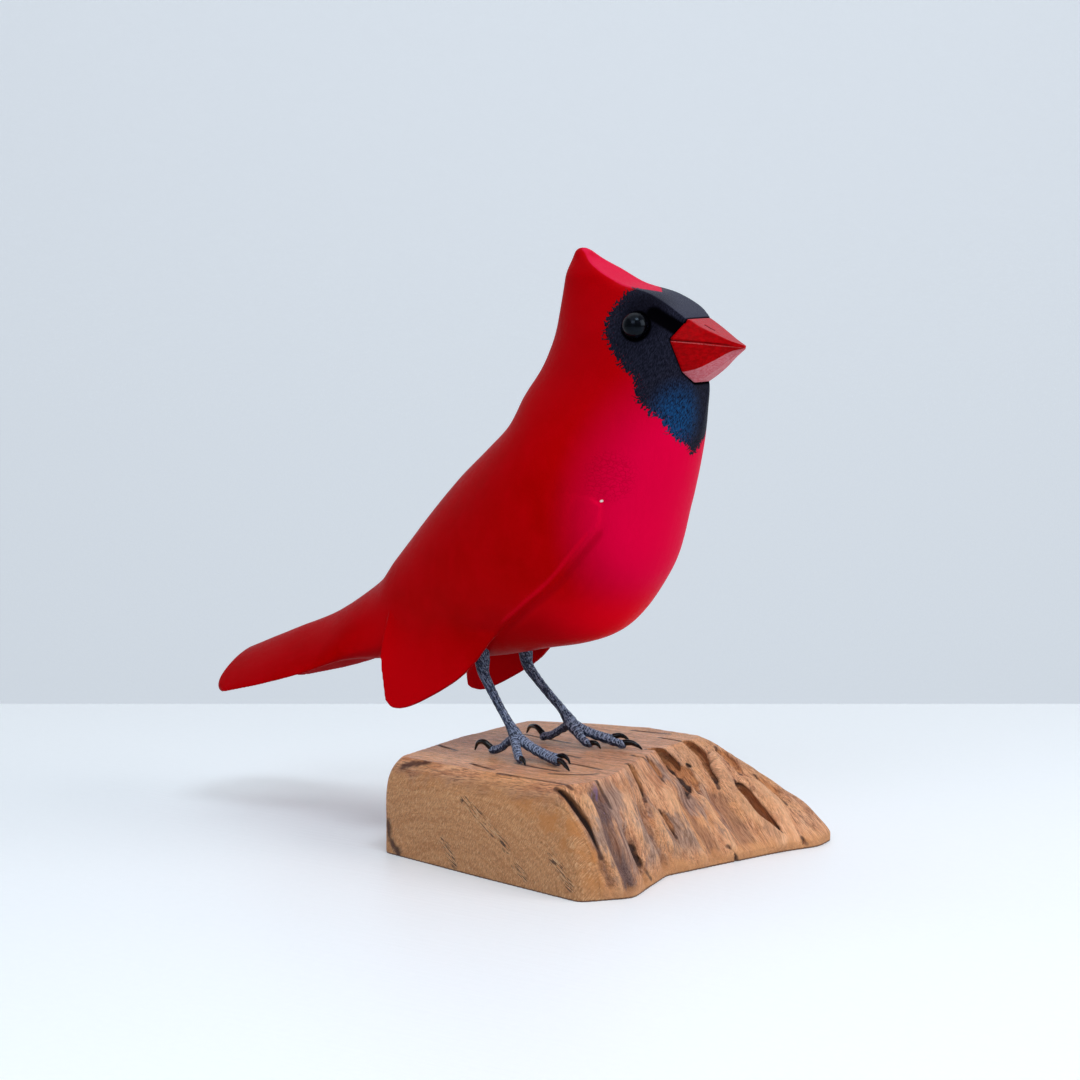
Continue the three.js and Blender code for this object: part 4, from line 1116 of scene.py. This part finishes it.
def leg_paint():
    g = Graph("leg_paint")
    fine = g.noise(g.place, 3.0, 3, 0.6)
    # Streaks run down the shank
    strand = g.noise(g.turned((2.4, 0, 1.8), (0.18, 0, -0.24), (0, 2.8, 0)), 1.0, 4, 0.6)
    scute = g.read("scute")
    ridge = g.make("NewGeometry", {}, "Pointiness")
    above = g.dot(g.make("NewGeometry", {}, "Normal"), (0.45, -0.35, 0.82))
    toes = g.span(g.dot(g.place, (0, 0, 1)), 38, 34)
    base = g.tones(g.noise(g.place, 0.9, 4, 0.6), 0.35, 0.65, (0.005, 0.009, 0.023), (0.018, 0.029, 0.068))
    base = g.layers(
        base,
        (strand, 0.53, 0.60, 0.75, (0.20, 0.25, 0.37)),
        (g.plus(scute, fine, 0.5), 0.9, 0.55, 0.85, (0.005, 0.007, 0.013)),
        (ridge, 0.505, 0.56, 0.8, (0.40, 0.46, 0.60), g.span(fine, 0.40, 0.56)),
        # Dry-brushed from above, on the raised parts, and laid on the side that faces the light as a
        # painted highlight
        (above, 0.15, 0.85, 0.6, (0.30, 0.36, 0.50), g.span(g.plus(strand, fine), 0.94, 1.12)),
        (scute, 0.66, 0.80, 0.8, (0.36, 0.42, 0.58), g.span(scute, 1.0, 0.90), toes),
        (ridge, 0.49, 0.44, 0.9, (0.006, 0.006, 0.012)),
    )
    relief = g.bump(g.plus(fine, strand), 0.18)
    return g.done(base, g.span(fine, 0.3, 0.7, 0.32, 0.5), Normal=relief,
                  Specular_IOR_Level=0.12)


def claw_paint():
    g = Graph("claw_paint")
    fine = g.noise(g.place, 1.8)
    base = g.tones(fine, 0.4, 0.7, (0.001, 0.001, 0.0015), (0.005, 0.005, 0.007))
    return g.done(base, g.span(fine, 0.3, 0.7, 0.14, 0.30),
                  Normal=g.bump(fine, 0.03), Specular_IOR_Level=0.3)


def block_wood():
    g = Graph("block_wood")
    p = g.place
    grain = g.read("grain", "Vector")
    slope, level, gash = g.read("sloped"), g.read("level"), g.read("gash")
    x, y, z = (g.make("SeparateXYZ", {"Vector": p}, k) for k in range(3))
    rings = g.noise(grain, (0.05, 0.42, 0.42), 4, 0.55, 0.6)
    streak = g.noise(grain, (0.17, 1.5, 1.5), 6, 0.68, 0.3)
    fibre = g.noise(grain, (0.5, 4.4, 4.4), 4, 0.65)
    speckle = g.noise(p, (1.3, 1.3, 2.08), 5, 0.75)
    # Sawn face: growth rings arch over a centre below the block, and short strokes cross them
    radius = g.plus(g.gap((-2, 0, -10), (0.6, 0, 1)), g.noise(p, 0.12), 3.5)
    year = g.noise(g.make("CombineXYZ", {"X": radius, "Y": g.times(x, 0.03)}), 1.2, 5, 0.7)
    stroke = g.noise(g.turned((2.8, 0, -1.3), (0.26, 0, 0.56)), 1.0, 4, 0.7)
    sawn = g.layers(
        g.tones(year, 0.38, 0.62, (0.77, 0.365, 0.155), (0.64, 0.27, 0.10)),
        (stroke, 0.50, 0.62, 0.55, (0.38, 0.16, 0.058)),
        (stroke, 0.47, 0.38, 0.7, (0.95, 0.60, 0.33)),
        (speckle, 0.56, 0.68, 0.6, (0.26, 0.11, 0.042)),
        (radius, 34.0, 38.5, 0.8, (0.66, 0.25, 0.065), g.span(g.noise(p, 0.16), 0.42, 0.6)),
    )
    # Top and natural edge: redder brown with dark streaks along the grain
    wear_and_sheen = g.layers(
        g.tones(rings, 0.38, 0.62, (0.60, 0.30, 0.155), (0.44, 0.18, 0.082)),
        (streak, 0.50, 0.62, 0.75, (0.175, 0.062, 0.030)),
        (streak, 0.46, 0.34, 0.6, (0.76, 0.44, 0.25)),
        (g.noise(p, 0.07), 0.45, 0.62, 0.5, (0.58, 0.27, 0.105)),
        (fibre, 0.54, 0.61, 0.6, (0.16, 0.06, 0.028)),
        (fibre, 0.45, 0.38, 0.4, (0.80, 0.48, 0.28)),
    )
    rim = g.span(g.plus(z, g.noise(p, 0.25), 7.0), 25.5, 29.5)
    both = g.math("MAXIMUM", slope, g.math("MAXIMUM", level, rim))
    shaken = g.plus(streak, -0.5)
    # Valleys of the natural edge are darker as painted shade and its ridges paler as a painted highlight,
    # with weathered patches
    uneven = g.plus(g.read("fold"), g.plus(rings, -0.5), 3.5)
    valley_shade = g.tones(streak, 0.42, 0.6, (0.27, 0.12, 0.065), (0.12, 0.048, 0.030))
    patch = g.noise(grain, (0.07, 0.16, 0.16), 5, 0.65)
    grey = g.tones(streak, 0.42, 0.58, (0.30, 0.20, 0.165), (0.13, 0.075, 0.062))
    base = g.layers(
        g.mix(both, sawn, wear_and_sheen),
        (uneven, -0.3, -2.0, 0.65, valley_shade, slope),
        (uneven, 0.4, 1.8, 0.35, (0.82, 0.48, 0.27), slope),
        (patch, 0.47, 0.58, 0.75, grey, slope, g.span(z, 3, 8), g.span(y, 34, 16, 0.25, 1)),
    )
    # Dark brown painted shade down the deepest valley, with a purple streak of painted shade in its upper
    # half, orange where the wood runs out at the foot, and a dark line of painted contact shadow on the
    # very edge
    seam = g.plus(g.read("seam"), shaken, 7.0)
    brown = g.tones(fibre, 0.42, 0.6, (0.17, 0.10, 0.085), (0.065, 0.032, 0.034))
    foot = g.plus(z, g.noise(p, 0.22), 9.0)
    base = g.layers(
        base,
        (seam, 3.4, 1.4, 0.9, brown, slope),
        (seam, 1.3, 0.6, 0.7, (0.17, 0.10, 0.22), slope, g.span(g.read("seam_along"), 17, 8)),
        (foot, 9.5, 6.5, 0.6, (0.55, 0.25, 0.10), slope),
        (g.plus(z, speckle, 0.8), 0.9, 0.6, 0.8, (0.08, 0.03, 0.03)),
    )
    # Gashes are orange on their easy side, with black painted shade on the steep one and dark painted
    # shade along their lines, and the knot has a dark eye
    inner = g.tones(streak, 0.42, 0.6, (0.50, 0.20, 0.07), (0.26, 0.088, 0.034))
    carved = g.times(g.span(g.read("depth"), 0.2, 0.7), g.span(gash, 5.5, 4.5))
    base = g.layers(
        g.lay(base, inner, carved, 0.85),
        (g.plus(g.read("aside"), shaken, 0.8), 0.62, 0.24, 0.96, (0.018, 0.006, 0.005), carved),
        (g.plus(gash, fibre, 0.9), 1.5, 0.85, 0.85, (0.045, 0.014, 0.009)),
        (g.gap(KNOT), 1.3, 0.8, 1.0, (0.012, 0.005, 0.004)),
    )
    # Painted light: the top face is lifted to 1.66 and the natural edge to 1.38 times the brightness of
    # the sawn face
    base = g.vector("SCALE", base, scale=g.plus(g.plus(1.0, level, 0.66), slope, 0.38))
    # Scratches run along the cracks of the sawn face in a narrow band
    hatch = g.noise(g.turned((1.3, 0, 2.3), (0.2, 0, -0.12)), 1.0)
    band = g.span(g.plus(g.read("crack"), speckle, 3.0), 3.6, 2.2)
    base = g.layers(
        base,
        (hatch, 0.53, 0.60, 1.0, (0.11, 0.05, 0.025), band),
        (hatch, 0.46, 0.38, 0.7, (0.78, 0.52, 0.30), band),
        (g.plus(g.read("stain"), g.noise(p, 0.5, 4), 3.0), 3.6, 1.6, 0.9, (0.060, 0.016, 0.010)),
    )
    relief = g.bump(g.plus(streak, fibre, 0.7), 0.9)
    relief = g.bump(g.times(g.plus(stroke, speckle), g.plus(1.0, both, -1.0)), 0.22, relief)
    rough = g.blend(level, g.span(streak, 0.3, 0.7, 0.5, 0.68), 0.32)
    return g.done(base, rough, Normal=relief, Specular_IOR_Level=0.35)


def finish_piece(obj, material, slot, *nodes):
    obj.data.materials.clear()
    obj.data.materials.append(material)
    obj.data.transform(Matrix.Scale(MM, 4))
    obj.data.polygons.foreach_set("use_smooth", [True] * len(obj.data.polygons))
    obj.data.update()
    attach(obj, "root")
    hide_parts(*nodes)


finish_piece(skin, red_paint(), "red_paint", "head", "torso", "tail", "wing_left", "wing_right")
finish_piece(bill_piece, bill_paint(), "bill_paint", "bill_upper", "bill_lower")
glass, steel, horn = bead_glass(), leg_paint(), claw_paint()
for side, bead in beads.items():
    finish_piece(bead, glass, "bead_glass", "eye_" + side)
for side in FEET:
    finish_piece(legs[side], steel, "leg_metal", "leg_" + side)
    finish_piece(claws[side], horn, "claw_paint", *["claw_" + side + "_" + toe for toe in TOES])
finish_piece(block, block_wood(), "base_wood", "wood_block")


def plain(name, tint, rough, glow=0.0):
    """Plain paint, which may glow a little."""
    g = Graph(name)
    base = g.mix(g.noise(g.place, 0.4, 4), tint, [c * 0.97 for c in tint])
    relief = g.bump(g.noise(g.place, (0.02, 0.5, 1)), 0.12)
    return g.done(base, rough, Normal=relief,
                  Emission_Color=tint, Emission_Strength=glow)


# The stage runs along and across the camera's view. How far each edge lies behind the origin
FLOOR_FRONT = -900
FLOOR_BACK = 236
WALL_BACK = 1400
WALL_HEIGHTS = (-1300, 5300)
ahead = np.array([forward.x, forward.y]) / math.hypot(forward.x, forward.y)
across = np.array([ahead[1], -ahead[0]])


def panel(name, first, last, half, material):
    """A flat sheet between two edges, each with its distance behind the origin and its height."""
    corners = [[*(ahead * depth + across * side), z] for (depth, z), side in
               ((first, -half), (first, half), (last, half), (last, -half))]
    obj = mesh_object(name, np.array(corners) * MM, [(0, 1, 2, 3)])
    obj.data.materials.append(material)


panel("floor", (FLOOR_FRONT, 0), (FLOOR_BACK, 0), 1500, plain("floor_paint", (0.88, 0.90, 0.91), 0.45))
panel("wall", (WALL_BACK, WALL_HEIGHTS[0]), (WALL_BACK, WALL_HEIGHTS[1]), 6600,
      plain("wall_paint", (0.77, 0.82, 0.87), 0.6, 0.35))

world = bpy.data.worlds.new("room")
world.use_nodes = True
sky = world.node_tree.nodes["Background"].inputs
sky["Color"].default_value = (0.86, 0.92, 1.0, 1.0)
sky["Strength"].default_value = 0.33
bpy.context.scene.world = world

# Lamps, all aimed at the bird: place, width and height, power in watts and tint
LAMP_AIM = Vector((0, 0, 90))
LAMPS = {
    "window": ((950, 250, 520), (700, 700), 5.6, (1.0, 0.98, 0.97)),
    "ceiling": ((-100, -100, 1100), (1200, 1200), 3.6, (0.93, 0.96, 1.0)),
    "skylight": ((420, -260, 930), (340, 270), 3.0, (0.80, 0.90, 1.0)),
    "front": ((200, -800, 700), (500, 400), 2.4, (0.84, 0.91, 1.0)),
}
for name, (place, size, power, tint) in LAMPS.items():
    data = bpy.data.lights.new(name, "AREA")
    data.shape = "RECTANGLE"
    data.size, data.size_y = size[0] * MM, size[1] * MM
    data.energy = power
    data.color = tint
    obj = bpy.data.objects.new(name, data)
    bpy.context.scene.collection.objects.link(obj)
    obj.location = Vector(place) * MM
    obj.rotation_mode = "QUATERNION"
    obj.rotation_quaternion = (LAMP_AIM - Vector(place)).to_track_quat("-Z", "Y")

bpy.context.scene.view_settings.view_transform = "Standard"
